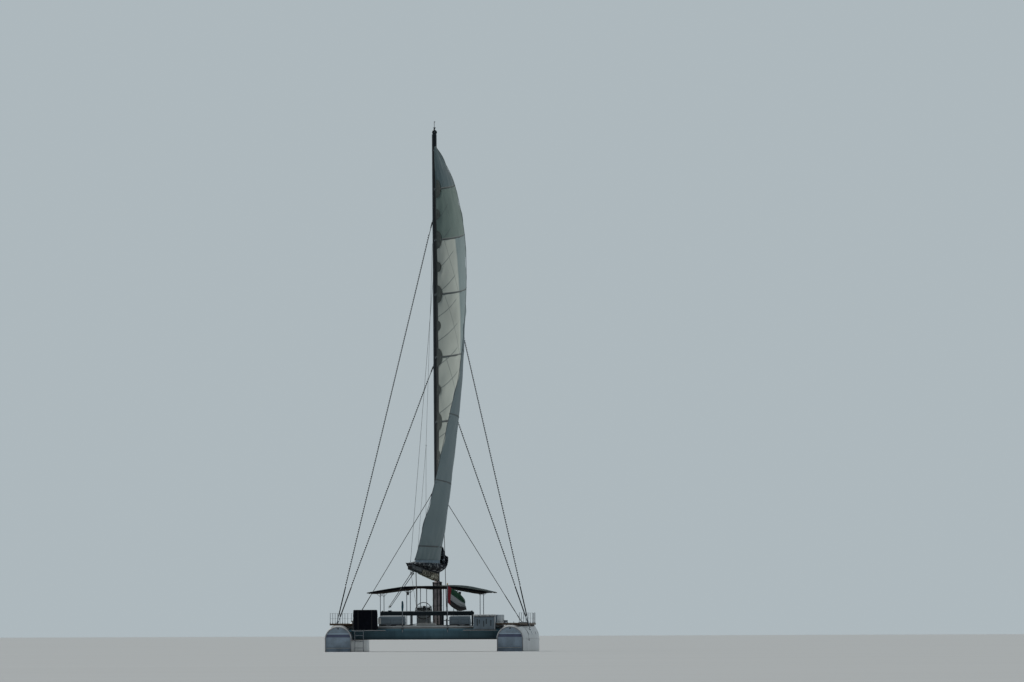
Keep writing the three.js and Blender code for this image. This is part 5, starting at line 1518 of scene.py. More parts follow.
def stay(name, foot, mast_z, mast_side, lamps=False):
    """One stay: wire, a swaged eye at the mast, a turnbuckle at the foot, and on some a string of small lamps."""
    foot = Vector(foot)
    tang = MAST_FOOT + RIG_UP * mast_up(mast_z) + Vector(mast_side)
    line = (tang - foot).normalized()
    sleeve = (3.8 - foot.z) / line.z if lamps else 1.9
    parts = [
        drum(foot + line * 0.5, tang - line * 0.14, 0.018, "wire", 14),
        drum(foot + line * 0.18, foot + line * 0.56, 0.03, "steel", 20, 0.005),
        drum(foot + line * 0.08, foot + line * 0.2, 0.014, "steel", 14),
        drum(foot + line * 0.54, foot + line * 0.78, 0.022, "steel", 16, far=0.019),
        drum(foot + line * 0.8, foot + line * sleeve, 0.034 if lamps else 0.024, "rubber", 14, 0.003),
        drum(tang - line * 0.4, tang - line * 0.03, 0.034, "rubber", 16, 0.004),
        block(foot - Vector((0.012, 0.04, 0.0)), foot + Vector((0.012, 0.04, 0.12)), "steel", 0.008),
        drum(foot + Vector((-0.03, 0, 0.085)), foot + Vector((0.03, 0, 0.085)), 0.012, "steel", 14, 0.002),
    ]
    if lamps:
        out = Vector((math.copysign(0.03, foot.x), 0, 0))
        start = foot + line * (sleeve + 0.15) + out
        count = int(((tang - line * 0.6) - start).length / 0.14)
        parts.append(row_of(ball(start, 0.034, "rubber", sides=8), line * 0.14, count))
    parts.append(drum(tang - line * 0.06, tang + line * 0.02, 0.012, "steel", 12))
    return settle(gather(parts, name + "_wire"), "platform", "wire", (name,))


# Sails and boom

def luff_patches():
    """Rounded reinforcement patches along the luff, at the battens and between them, on both faces."""
    parts = []
    middles = [(low + high) / 2 for low, high in zip(BATTEN_ZS, BATTEN_ZS[1:])]
    for z, half in [(z, 0.55) for z in BATTEN_ZS] + [(z, 0.32) for z in middles]:
        for proud in (-0.02, 0.02):
            def place(u, v, z=z, half=half, proud=proud):
                up = 2 * v - 1
                reach = 0.55 * half ** 0.6 * math.sqrt(max(0.0004, 1 - up * up))
                at = z + half * up
                return sail_point(at, (0.15 + u * reach) / between(SAIL_ROWS, "z", "chord", at), proud)

            parts.append(thicken(skin(5, 14, place, "patch"), 0.005))
    return parts


def foot_band(u, v):
    """A point of the tape that hangs from the sail's foot."""
    drop = 0.22 - 0.085 * u
    return sail_point(5.372, 0.004 + 0.99 * u, 0.001) - Vector((0, 0, drop * v))


def sail_skin():
    """The mainsail: one smooth cloth with slack between its battens, fluted near the leech and at the foot."""
    low, high = SAIL_ROWS["z"][0], SAIL_ROWS["z"][-1]
    sideways = Vector((math.cos(math.radians(10)), math.sin(math.radians(10)), 0))

    def place(u, v):
        z = low + (high - low) * v
        free = min(1.0, min(abs(batten - z) for batten in BATTEN_ZS) / 1.4)
        edge = u ** 6 * 0.05 * math.sin(z * 3.3) * free
        sag = 0.05 * free * free * wrinkle((u * 3.0, z * 0.35, 0), 1.0, 2.0)
        small = 0.018 * wrinkle((u * 9, z * 1.1, 0), 1.0, 6.0)
        slant = 0.022 * math.sin((z - u * 3.4) * 2.6) * (1 - u) ** 2 * math.sin(math.pi * min(1, u * 5)) * free
        creases = max(0, 1 - (z - low) / 2.2) * 0.05 * wrinkle((u * 14, z * 2.4, 0), 1.0, 11.0)
        return sail_point(z, u) + sideways * ((edge + sag + small + slant + creases) * min(1.0, u * 12))

    return gather([thicken(skin(104, 260, place, "sail"), 0.007)], "mainsail_cloth", 60)


def batten_pocket(z):
    """One batten in its pocket, from luff to leech."""
    def place(u, v):
        angle = 2 * math.pi * u
        high = 0.065 - 0.035 * v
        return sail_point(z + high * math.sin(angle), min(v * 1.003, 1.003), 0.02 * math.cos(angle) + 1e-6)

    ends = [[place(step / 12, v) for step in range(12)] for v in (0, 1)]
    strip = skin(12, 60, place, "batten", around=True)
    return close_ends(strip, *(lambda co, end=end: any((co - p).length < 1e-3 for p in end) for end in ends))


def mainsail():
    """The sail, its battens, and what is sewn or fixed to its edges."""
    cloth = sail_skin()
    battens = gather([batten_pocket(z) for z in BATTEN_ZS], "sail_battens", 60)
    settle(battens, "boom", "sailcloth")

    parts = luff_patches()
    parts.append(thicken(skin(90, 6, foot_band, "foot_tape"), 0.006))
    rows = spread(5.37, 29.7, 150)
    parts.append(tube([sail_point(z, 1.0) for z in rows], 0.013, "batten", 2))
    parts.append(tube([sail_point(z, 0.0) for z in rows], 0.022, "rubber", 2))
    parts.append(tube([sail_point(5.372, share) for share in spread(0, 1, 60)], 0.013, "batten", 2))
    for z in (9.42, 13.32):
        for t in (0.03, 0.975):
            for proud in (-0.012, 0.012):
                centre = sail_point(z, t, proud)
                parts.append(ring(centre, sail_point(z, t, proud * 3) - centre, 0.045, 0.01, "steel", 24, 8))
    clew = sail_point(5.37, 0.985) + Vector((0, 0, 0.03))
    parts.append(ring(clew, (1, 0.1, 0), 0.05, 0.014, "steel", 28, 10))
    for shift in (Vector((0, -0.014, 0)), Vector((0, 0.014, 0))):
        parts.append(drum(clew + shift, on_boom(8.68, 0.06, 0.16) + shift, 0.009, "pale_rope", 10))
    trim = gather(parts, "sail_edges", 60)
    settle(trim, "boom", "sailcloth")
    settle(cloth, "boom", "sailcloth", ("mainsail_foot", "mainsail_lower", "mainsail_upper", "mainsail_head"))


def luff_cars():
    """Cars on the mast's track: large ones at the battens, small slides between."""
    parts = []
    stops = [*BATTEN_ZS, 29.5]
    for up in map(mast_up, stops):
        parts.append(block((-0.042, -0.3, up - 0.11), (0.042, -0.238, up + 0.11), "rubber", 0.012))
        parts.append(drum((0, -0.318, up - 0.05), (0, -0.318, up + 0.05), 0.018, "steel", 14, 0.003))
    for low, high in zip([5.4, *stops], [*stops, 29.6]):
        for share in (0.33, 0.67):
            up = mast_up(low + (high - low) * share)
            parts.append(block((-0.036, -0.296, up - 0.04), (0.036, -0.238, up + 0.04), "rubber", 0.01))
    return settle(carry(gather(parts, "luff_cars"), RIG_AXES), "platform", "spar_paint")


def boom_gear():
    """End cap with its sheaves, outhaul track, reef lines and the mainsheet's bail."""
    bail = ((-0.09, -0.18), (-0.09, -0.235), (0.09, -0.235), (0.09, -0.18))
    parts = [
        block((-0.125, -8.93, -0.185), (0.125, -8.88, 0.185), "rubber", 0.03),
        block((-0.02, -8.85, 0.186), (0.02, -7.3, 0.206), "steel", 0.004),
        block((-0.035, -8.72, 0.2), (0.035, -8.56, 0.235), "steel", 0.01),
        tube([(x, -8.35, z) for x, z in bail], 0.014, "steel", 3),
    ]
    for x in (-0.07, 0, 0.07):
        parts.append(drum((x - 0.014, -8.9, 0.06), (x + 0.014, -8.9, 0.06), 0.05, "steel", 24, 0.004))
    for x, high in ((-0.137, -0.05), (0.137, -0.05), (-0.137, -0.09)):
        parts.append(drum((x, -0.45, high), (x, -8.7, high), 0.007, "pale_rope", 10))
    for y in (-2.0, -4.4, -6.6):
        for x in (-0.137, 0.137):
            eye = ((x, -0.05), (x * 1.09, -0.02), (x * 1.09, 0.02), (x, 0.05))
            parts.append(tube([(at, y + along, -0.03) for at, along in eye], 0.006, "steel", 2))
    return settle(carry(gather(parts, "boom_gear"), BOOM_AXES), "boom", "spar_paint")


BAG = {
    "u": (0.26, 1.5, 4.0, 6.5, 7.9, 8.34),
    "left": (0.33, 0.43, 0.47, 0.43, 0.38, 0.33),
    "right": (0.58, 0.6, 0.54, 0.43, 0.33, 0.17),
    "top": (0.873, 0.811, 0.65, 0.45, 0.313, 0.24),
}
BAG_SHARES = (0.25, 0.5, 0.88)
BAG_HORN = {
    "u": (0.262, 0.45, 0.8, 1.45), "wide": (0.33, 0.33, 0.25, 0.17), "top": (1.5, 1.86, 1.5, 0.9),
}


def bag_section(u):
    """The bag's half widths to port and starboard, its top, and the heights of its bends."""
    left, right, top = (between(BAG, "u", key, u) for key in ("left", "right", "top"))
    return left, right, top, *(BOOM_HIGH + share * (top - BOOM_HIGH) for share in BAG_SHARES)


def sail_bag():
    """The lazy bag along the boom: canvas that sags over the flaked sail, its mouth closed round the sail."""
    low, high = BAG["u"][0], BAG["u"][-1]
    base = BOOM_HIGH + 0.003

    def place(a, b):
        u = low + (high - low) * b
        left, right, top, bend, side, shoulder = bag_section(u)
        outline = cut_corners([
            (-0.12, base), (-0.8 * left, bend), (-left, side), (-0.8 * left, shoulder), (-0.06, top),
            (0.06, top), (0.8 * right, shoulder), (right, side), (0.8 * right, bend), (0.12, base),
        ])
        v, w = walk_round(outline, a)
        centre_w = (top + BOOM_HIGH) / 2
        reach = max(math.hypot(v, w - centre_w), 0.01)
        lump = 0.035 * wrinkle((u * 1.1, v * 2.2, w * 2.2), 1.3) + 0.02 * wrinkle((u * 0.6, w * 6, v), 1.6, 4.0)
        lump += 0.014 * (0.5 - abs(wrinkle((u * 2.2, v * 3, w * 4), 2.2, 8.0)) * 2.2)
        lump *= min(1.0, (w - BOOM_HIGH) / 0.12) * min(1.0, (top - BOOM_HIGH) / 0.5)
        scale = 1 + lump / reach
        return on_boom(u, v * scale, max(centre_w + (w - centre_w) * scale, base))

    bag = close_ends(skin(96, 150, place, "bag", around=True), *boom_ends(low, high))
    gather([bag], "sail_bag_canvas", 60)
    settle(bag, "boom", "dark_canvas", ("sail_bag",))


def bag_horn():
    """The bag's raised forward end beside the mast, against the sail's starboard face."""
    low, high, base = BAG_HORN["u"][0], BAG_HORN["u"][-1], 0.64
    lean = math.radians(SAIL_ROWS["angle"][1]) - BOOM_YAW
    chord, camber = SAIL_ROWS["chord"][1], SAIL_ROWS["camber"][1]

    def place(a, b):
        u = low + (high - low) * b
        wide, top = (between(BAG_HORN, "u", key, u) for key in ("wide", "top"))
        inner = u * math.sin(lean) + chord * camber * camber_shape(u / chord) + 0.045
        outline = cut_corners([
            (inner, base), (inner, base + 0.55 * (top - base)), (inner + 0.52 * wide, top),
            (inner + 0.94 * wide, base + 0.6 * (top - base)), (inner + wide, base),
        ])
        v, w = walk_round(outline, a)
        out = 0.02 * wrinkle((u * 2, v * 3, w * 2.5), 2.0, 12.0)
        return on_boom(u, v + (out if v > inner + 0.05 else 0), w + out * 0.5)

    horn = close_ends(skin(48, 48, place, "bag", around=True), *boom_ends(low, high))
    gather([horn], "sail_bag_horn", 60)
    settle(horn, "boom", "dark_canvas")


def bag_trim():
    """The bag's straps, zip, side flap and a loose corner at its aft end, and the lazy lines that hold it up."""
    parts = []
    for u in spread(0.8, 7.8, 7):
        left, right, _, bend, side, _ = bag_section(u)
        under = ((0.145, 0.1), (0.138, -0.15), (0.06, -0.2))
        line = [(-left - 0.012, side), (-0.8 * left, bend - 0.01), *((-v, w) for v, w in under)]
        line += [*under[::-1], (0.8 * right, bend - 0.01), (right + 0.012, side)]
        points = [on_boom(u, v, w) for v, w in line]

        def web(a, b, points=points):
            return on_line(points, b) + BOOM_D * 0.05 * (a - 0.5)

        parts.append(thicken(skin(2, 36, web, "rubber"), 0.005))
    zip_line = [on_boom(u, -0.06, between(BAG, "u", "top", u) + 0.006) for u in spread(0.4, 8.2, 60)]
    parts.append(tube(zip_line, 0.01, "line", 2))
    rim = {"w": (0.45, 0.5, 0.7, 0.9, 1.13, 1.2, 1.45), "v": (0.57, 0.62, 0.7, 0.74, 0.745, 0.62, 0.42)}

    def flap(a, b):
        w = 0.45 + b
        v = 0.38 + (between(rim, "w", "v", w) - 0.38) * a
        return on_boom(0.4 + 0.03 * math.sin(a * 9 + b * 7), v, w)

    parts.append(thicken(skin(12, 30, flap, "bag"), 0.02))
    corner = [on_boom(8.25, -0.12, 0.22), on_boom(8.72, -0.29, 0.24), on_boom(8.6, -0.14, -0.08)]

    def loose(a, b):
        return corner[0].lerp(corner[1].lerp(corner[2], a), b) + BOOM_V * 0.02 * wrinkle((a * 3, b * 3, 0), 1.0)

    parts.append(thicken(skin(6, 8, loose, "bag"), 0.008))
    eye = Vector((-0.444, -1.9, 12.1))
    head = MAST_FOOT + RIG_UP * mast_up(24) + Vector((-0.15, -0.02, 0))
    parts.append(drum(eye, head, 0.008, "line", 8))
    parts.append(ring(eye, (0, 1, 0.3), 0.035, 0.009, "steel", 20, 8))
    for u in (2.0, 5.0):
        foot = on_boom(u, -0.3, bag_section(u)[5])
        parts.append(drum(foot, eye, 0.008, "line", 8))
        parts.append(ring(foot, (0, 1, 0.3), 0.025, 0.006, "steel", 20, 8))
    return settle(gather(parts, "sail_bag_trim"), "boom", "dark_canvas")


def boom_skirt():
    """A pale crumpled cloth wrapped round the lower part of the boom's forward half."""
    low, high = 0.25, 5.6

    def place(a, b):
        u = low + (high - low) * b
        angle = math.pi * (1 + a)
        cos, sin = math.cos(angle), abs(math.sin(angle))
        edge = 0.16 - 0.12 * b
        under = -0.205 - 0.085 * (1 - b) * min(1.0, 0.5 + b * 3)
        swell = 0.03 * wrinkle((u * 2.0, cos * 2, sin * 2), 1.4, 1.0)
        swell += 0.02 * wrinkle((u * 5, cos * 3, sin * 3), 1.2, 5.0)
        v = (0.162 + abs(swell)) * math.copysign(abs(cos) ** 0.5, cos)
        w = edge + (under - edge) * sin ** 0.6 - abs(swell) * sin + 0.03 * wrinkle((u, 0, 0), 2.0) * (1 - sin)
        return on_boom(u, v, w)

    cloth = thicken(skin(48, 150, place, "pale_folds"), 0.006)
    gather([cloth], "boom_skirt", 60)
    settle(cloth, "boom", "sailcloth")


def pulley(centre, line, width, radius, wheels):
    """A block on a line: cheeks, sheaves and a shackle."""
    axis = Vector((1, 0, 0))

    def disc(x, half, size, finish, sides=24, soft=0.004):
        return drum(centre + axis * (x - half), centre + axis * (x + half), size, finish, sides, soft)

    parts = [disc((index / wheels - 0.5) * width, 0.006, radius, "rubber") for index in range(wheels + 1)]
    parts += [disc(((index + 0.5) / wheels - 0.5) * width, 0.016, radius * 0.82, "steel") for index in range(wheels)]
    parts.append(disc(0, width / 2 + 0.012, 0.012, "steel", 14, 0.003))
    near, end = centre + line * radius * 0.5, centre + line * (radius + 0.05)
    shackle = [near - axis * width * 0.35, end - axis * 0.015, end + axis * 0.015, near + axis * width * 0.35]
    parts.append(tube(shackle, 0.011, "steel", 3))
    return parts


def main_sheet():
    """The mainsheet's purchase: an upper and a lower block and the parts of the sheet between them."""
    upper = on_boom(8.35, 0.04, -BOOM_HIGH - 0.17)
    lower = Vector((-2.18, TRAVELLER_Y, 2.64))
    line = (upper - lower).normalized()
    parts = pulley(upper, line, 0.19, 0.1, 2) + pulley(lower, -line, 0.12, 0.06, 2)
    for x, out in ((-0.085, 0.03), (-0.06, -0.03), (0.06, 0.03), (0.085, -0.03)):
        parts.append(drum(lower + Vector((x * 0.6, out, 0)), upper + Vector((x, out, 0)), 0.0125, "rope", 12))
    parts.append(tube([upper + line * 0.09, upper + line * 0.19], 0.02, "rope", 3))
    return settle(gather(parts, "mainsheet_purchase"), "boom", "rope", ("mainsheet",))


def boom_strop():
    """A second taut line from the boom to the beam under it, with a shackle at each end."""
    top, foot = on_boom(6.9, 0, -0.2), Vector((-0.6, TRAVELLER_Y, 2.37))
    line = (top - foot).normalized()
    parts = [
        drum(foot + line * 0.05, top - line * 0.05, 0.026, "rope", 14, 0.003),
        drum(foot + line * 0.1, top + Vector((-0.3, 0, 0)), 0.009, "rope", 10),
        ring(foot + line * 0.03, (1, 0, 0), 0.03, 0.009, "steel", 24, 8),
        ring(top - line * 0.02, (1, 0, 0), 0.04, 0.011, "steel", 24, 8),
    ]
    return settle(gather(parts, "boom_strop"), "boom", "rope")


def lift():
    """The topping lift from the boom's end to the mast, with an eye at each end."""
    foot = on_boom(8.78, 0, BOOM_HIGH - 0.02)
    top = hinge_line(22.5) + Vector((-0.045, 0, 0))
    line = (top - foot).normalized()
    parts = [
        drum(foot + line * 0.2, top - line * 0.1, 0.0095, "rope", 10),
        drum(foot + line * 0.02, foot + line * 0.24, 0.015, "steel", 14, 0.003),
        ring(foot + Vector((0, 0, 0.03)), (1, 0, 0), 0.03, 0.009, "steel", 24, 8),
        ring(top, (1, 0, 0), 0.03, 0.009, "steel", 24, 8),
        drum(top - line * 0.16, top - line * 0.02, 0.013, "steel", 14, 0.002),
    ]
    return settle(gather(parts, "topping_lift_line"), "boom", "rope", ("topping_lift",))


# Staffs, rails, ladder and foredeck

FLAG = {
    "s": (0, 0.26, 0.53, 0.78, 1.0),
    "top_x": (1.3425, 1.56, 1.83, 2.11, 2.33), "top_z": (3.86, 3.7, 3.54, 3.31, 3.06),
    "low_x": (1.3425, 1.47, 1.7, 2.02, 2.44), "low_z": (2.86, 2.7, 2.52, 2.37, 2.44),
    "wave": (0, 0.07, -0.06, 0.06, -0.04),
}


def flag():
    """The ensign: its hoist held on the staff and the fly drooping in rounded folds."""
    def place(u, v):
        top_x, top_z, low_x, low_z, wave = (between(FLAG, "s", key, u) for key in list(FLAG)[1:])
        t = 1 - v
        x, z = top_x + (low_x - top_x) * t, top_z + (low_z - top_z) * t
        fold = wave * (0.4 + 0.6 * t) * 1.25 + 0.035 * math.sin(u * 13 + v * 3.2) * min(1, u * 3)
        fold += 0.085 * math.sin(v * 2 * math.pi * 2.5 + u * 2) * min(1, u * 1.3)
        fold += 0.012 * wrinkle((u * 6, v * 5, 0), 1.0, 3.0) * min(1, u * 4)
        sag = 0.05 * math.sin(math.pi * v) * u
        return Vector((x + 0.012 * math.sin(v * 9) * u, STAFF_Y + fold, z - sag))

    cloth = gather([thicken(skin(72, 48, place, "flag"), 0.003)], "flag_cloth", 70)
    parts = [tube([(1.34, STAFF_Y, 2.8), (1.345, STAFF_Y, 3.95)], 0.004, "pale_rope", 2)]
    for z in (2.87, 3.36, 3.85):
        parts.append(ring((1.332, STAFF_Y, z), (0, 0, 1), 0.027, 0.004, "steel", 20, 6))
    trim = gather(parts, "flag_halyard")
    settle(trim, "platform", "flag_cloth")
    settle(cloth, "platform", "flag_cloth", ("flag",))


def flagstaff():
    """The pole with its turned truck, a collar and a cleat."""
    x, y = STAFF_X, STAFF_Y
    truck = (
        (0.001, 0.075), (0.018, 0.07), (0.04, 0.045), (0.045, 0.02), (0.035, -0.01), (0.02, -0.03), (0.001, -0.035),
    )
    parts = [
        drum((x, y, 1.13), (x, y, 3.93), 0.022, "steel", 24, 0.003, far=0.018),
        turned(truck, (x, y, 3.93), "bronze", 24),
        drum((x, y, 1.5), (x, y, 1.56), 0.032, "steel", 24, 0.004),
        *mooring_cleat((x, y - 0.02, 2.0), 0.1, (0, 0, 1)),
    ]
    return settle(gather(parts, "flagstaff_pole"), "platform", "stainless", ("flagstaff",))


def port_staff():
    """A bare staff with its teal cover rolled and tied round the upper part."""
    x, y = -STAFF_X, STAFF_Y
    settle(gather([
        drum((x, y, 1.13), (x, y, 2.86), 0.022, "steel", 24, 0.003),
        drum((x, y, 1.5), (x, y, 1.56), 0.032, "steel", 24, 0.004),
    ], "port_staff_pole"), "platform", "stainless")

    def place(u, v):
        z = 2.37 + 0.59 * v
        angle = 2 * math.pi * u
        full = 0.064 * math.sin(math.pi * min(max(v, 0.004), 0.996)) ** 0.22
        waist = 1 - 0.2 * (math.exp(-((v - 0.25) / 0.03) ** 2) + math.exp(-((v - 0.72) / 0.03) ** 2))
        roll = 1 + 0.1 * math.sin(angle * 3 + v * 2) + 0.06 * wrinkle((angle, z * 5, 0), 1.2, 3.0)
        radius = max(full * waist * roll, 0.0005)
        return Vector((x + radius * math.cos(angle), y + radius * math.sin(angle), z))

    cover = gather([skin(36, 60, place, "teal", around=True)], "furled_cover", 60)
    settle(cover, "platform", "teal_cover", ("port_staff",))
    ties = [ring((x, y, z), (0, 0, 1), 0.055, 0.008, "rope", 28, 8) for z in (2.515, 2.795)]
    settle(gather(ties, "furled_cover_ties"), "platform", "rope")


def guard_rail(name, side):
    """Posts and wires, with a base, a cap and wire eyes at each post."""
    parts = [refine(name, name + "_wires", "steel", 0, 60, 2, 60)]
    fittings = gather([
        drum((0, 0, 0), (0, 0, 0.012), 0.042, "steel", 20, 0.003),
        drum((0, 0, 0.01), (0, 0, 0.07), 0.02, "steel", 16, 0.003),
        ball((0, 0, 0.598), 0.017, "steel", (1, 1, 0.7), 12),
    ], "post_fittings")
    posts = [(0.504, y) for y in spread(-10.45, 2.15, 6)] + [(0.48, 4.25), (0.405, 6.35), (0.285, 8.35), (0.085, 10.2)]
    feet = [Vector((side * (HULL_X + out), y, SIDE_DECK_TOP)) for out, y in posts]
    parts += [again(fittings, foot) for foot in feet[1:]]
    parts.append(carry(fittings, Matrix.Translation(feet[0])))
    return settle(gather(parts, name + "_wires", 50), "platform", "stainless", (name,))


def ladder():
    """The swim ladder with rubber treads and feet."""
    parts = [refine("swim_ladder", "boarding_ladder", "steel", 0, 60, 2, 60)]
    for z in spread(-0.5, 0.96, 4):
        parts.append(block((-4.035, -11.075, z + 0.008), (-3.585, -11.035, z + 0.016), "rubber", 0.003))
    for x in (-4.06, -3.56):
        parts.append(drum((x, -11.045, -0.575), (x, -11.045, -0.53), 0.023, "rubber", 16, 0.004))
    return settle(gather(parts, "boarding_ladder", 60), "swim_ladder", "stainless", ("swim_ladder",))


def forebeam():
    """The forward beam with its clamp bands, the forestay's foot and two eyes."""
    y, z = 9.6, 1.34
    parts = [refine("forebeam", "forebeam_tube", "spar", 0.004, 60, 2, 50)]
    for x, thick in ((-3.8, 0.012), (3.8, 0.012), (-0.36, 0.014), (0.36, 0.014)):
        parts.append(ring((x, y, z), (1, 0, 0), 0.122, thick, "steel", 40))
    parts.append(drum((0, y, 1.9), (0, y, 1.93), 0.07, "steel", 28, 0.006))
    for x in (-1.9, 1.9):
        parts.append(ring((x, y - 0.12, z), (1, 0, 0), 0.03, 0.008, "steel", 20, 8))
    return settle(gather(parts, "forebeam_tube", 50), "platform", "spar_paint", ("forebeam",))


def walkway():
    """The walkway between the bows with non-slip pads and lashing plates."""
    parts = [refine("catwalk", "walkway_deck", "moulding", 0.02, 50, 3)]
    for y in spread(2.45, 8.25, 5):
        parts.append(block((-0.27, y, 1.4385), (0.27, y + 1.02, 1.446), "nonslip", 0.003))
    for x in (-0.352, 0.352):
        for y in (3.0, 5.2, 7.4, 9.0):
            parts.append(block((x - 0.012, y - 0.04, 1.36), (x + 0.012, y + 0.04, 1.42), "steel", 0.006))
    return settle(gather(parts, "walkway_deck"), "platform", "gelcoat", ("catwalk",))


def foredeck_net(name, side, cell, cord):
    """A knotted net laced between the walkway, the hull, the bridge and the forward beam."""
    y0, y1, inner, level = 2.302, 9.478, 0.352, 1.338
    table = spread(y0, y1, 60)

    def outer(y):
        return HULL_X - hull_half_at(y, level) - 0.004

    def knot(x, y, lift=0.0):
        across = min(max((x - inner) / (outer(y) - inner), 0), 1)
        along = min(max((y - y0) / (y1 - y0), 0), 1)
        return side * x, y, level - 0.05 * math.sin(math.pi * across) * math.sin(math.pi * along) + lift

    parts = []
    for y in spread(y0, y1, int((y1 - y0) / cell))[1:-1]:
        parts.append(tube([knot(x, y) for x in spread(inner, outer(y), 8)], cord, "net", 0))
    for column in range(1, int((outer(y1) - inner) / cell) + 1):
        x = inner + cell * column
        ys = [y for y in table if outer(y) > x + 0.01]
        if len(ys) >= 3:
            parts.append(tube([knot(x, y, 0.004) for y in spread(ys[0], y1, 12)], cord, "net", 0))
    rim = [(side * inner, y0, level), (side * inner, y1, level)]
    rim += [(side * outer(y), y, level) for y in reversed(table)]
    parts.append(tube(rim, 0.012, "pale_rope", 1, closed=True))
    return settle(gather(parts, name + "_mesh", 0), "platform", "netting", (name,))


def side_hatch(name, side):
    """A framed hatch with a smoked lens, two hinges and two handles."""
    x, y = side * 4.87, 4.3
    parts = [
        refine(name, name + "_lid", "spar", 0.014, 50, 3),
        block((x - 0.235, y - 0.235, 1.699), (x + 0.235, y + 0.235, 1.712), "lens", 0.006),
    ]
    for at in (x - 0.15, x + 0.15):
        parts.append(drum((at - 0.03, y + 0.27, 1.69), (at + 0.03, y + 0.27, 1.69), 0.012, "steel", 14, 0.002))
        parts.append(block((at - 0.02, y - 0.23, 1.71), (at + 0.02, y - 0.15, 1.722), "rubber", 0.004))
    return settle(gather(parts, name + "_lid"), name, "spar_paint", (name,))


# Stage

def daylight(props):
    """Even light from all round, bright ahead of the boat and dim astern of it."""
    world = bpy.data.worlds.new("soft_daylight")
    world.use_nodes = True
    nodes, links = world.node_tree.nodes, world.node_tree.links
    background = nodes["Background"]
    background.inputs["Strength"].default_value = props.sky_strength
    way = nodes.new("ShaderNodeTexCoord")
    split = nodes.new("ShaderNodeSeparateXYZ")
    share = nodes.new("ShaderNodeMapRange")
    share.interpolation_type = "SMOOTHSTEP"
    for index, value in ((1, -0.4), (2, 0.6), (3, 0.0), (4, 1.0)):
        share.inputs[index].default_value = value
    tone = nodes.new("ShaderNodeMix")
    tone.data_type = "RGBA"
    tone.inputs[6].default_value = (*props.stern_color, 1)
    tone.inputs[7].default_value = (*props.sky_color, 1)
    links.new(way.outputs["Generated"], split.inputs[0])
    links.new(split.outputs[1], share.inputs[0])
    links.new(share.outputs[0], tone.inputs[0])
    links.new(tone.outputs[2], background.inputs["Color"])
    return world


def stage(props):
    """The floor at the waterline, soft light and the camera far astern."""
    clear_selection()
    bpy.ops.mesh.primitive_plane_add(size=props.floor_size, location=(0, 0, 0))
    floor = bpy.context.object
    floor.name = "stage_floor"
    fix_place()
    coat(floor, "floor")
    bpy.context.scene.world = daylight(props)

    bpy.ops.object.light_add(type="SUN")
    lamp = bpy.context.object
    lamp.name = "key_sun"
    lamp.data.energy, lamp.data.angle, lamp.data.color = props.sun_strength, math.radians(9), (1.0, 0.95, 0.86)
    azimuth, height = props.sun_azimuth, props.sun_height
    toward = Vector((math.sin(azimuth) * math.cos(height), math.cos(azimuth) * math.cos(height), math.sin(height)))
    lamp.rotation_euler = toward.to_track_quat("Z", "Y").to_euler()

    aim = Vector((4.52, 0, 18.25))
    azimuth = props.camera_azimuth
    ahead = Vector((-math.sin(azimuth), math.cos(azimuth), 0))
    eye = aim - ahead * props.camera_distance
    eye.z = props.camera_height
    camera = bpy.data.cameras.new("stern_camera")
    camera.sensor_width = 36
    camera.lens = 36 * props.camera_distance / props.frame_width
    camera.clip_start, camera.clip_end = 10, 12000
    holder = bpy.data.objects.new("stern_camera", camera)
    bpy.context.collection.objects.link(holder)
    look = (eye - aim).to_track_quat("Z", "Y")
    roll = Matrix.Rotation(props.camera_roll, 4, "Z")
    holder.matrix_world = Matrix.Translation(eye) @ look.to_matrix().to_4x4() @ roll
    bpy.context.scene.camera = holder
    bpy.context.scene.view_settings.view_transform = "Standard"


# Settings, operators and panel

def swatch(name, description, color):
    """A colour setting."""
    return FloatVectorProperty(
        name=name, description=description, default=color, size=3, min=0, max=1, subtype="COLOR",
    )


class CatamaranColors(bpy.types.PropertyGroup):
    # Gelcoat and mouldings are white; their grey defaults are painted shade.
    gelcoat: swatch("Gelcoat", "Hull paint above the waterline", (0.38, 0.395, 0.41))
    moulding: swatch("Mouldings", "White deck mouldings", (0.58, 0.6, 0.6))
    # Rims: the lit copy of the white gelcoat, a painted highlight.
    rim: swatch("Rims", "Bright rims of the transoms", (0.82, 0.84, 0.86))
    # Bench and locker faces: the white moulding in painted shade.
    shaded_moulding: swatch("Seats", "Faces of the benches and the locker", (0.19, 0.25, 0.3))
    # Transoms: white gelcoat tinted blue-grey as painted shade.
    transom: swatch("Transoms", "Recessed faces of the transoms", (0.43, 0.54, 0.65))
    bridge: swatch("Bridge", "Painted bridge between the hulls", (0.085, 0.175, 0.22))
    nonslip: swatch("Deck", "Non-slip deck", (0.36, 0.37, 0.36))
    plank: swatch("Planks", "Side deck planks", (0.38, 0.33, 0.26))
    spar: swatch("Spars", "Mast, boom and beams", (0.008, 0.017, 0.024))
    sail: swatch("Sail", "Mainsail cloth", (0.43, 0.48, 0.45))
    dark_canvas: swatch("Dark canvas", "Sail bag and box cover", (0.01, 0.014, 0.026))
    canopy: swatch("Canopy", "Top of the canopy", (0.13, 0.16, 0.155))
    floor: swatch("Floor", "Floor at the waterline", (0.38, 0.4, 0.42))


class CatamaranSizes(bpy.types.PropertyGroup):
    net_cell: FloatProperty(
        name="Net cell", description="Spacing of the foredeck net's cords", default=0.11, min=0.06, max=0.3,
        unit="LENGTH",
    )
    net_cord: FloatProperty(
        name="Net cord", description="Radius of the net's cords", default=0.005, min=0.002, max=0.01, unit="LENGTH",
    )
    canopy_slats: IntProperty(
        name="Canopy stiffeners", description="Stiffeners under the canopy", default=6, min=2, max=10,
    )


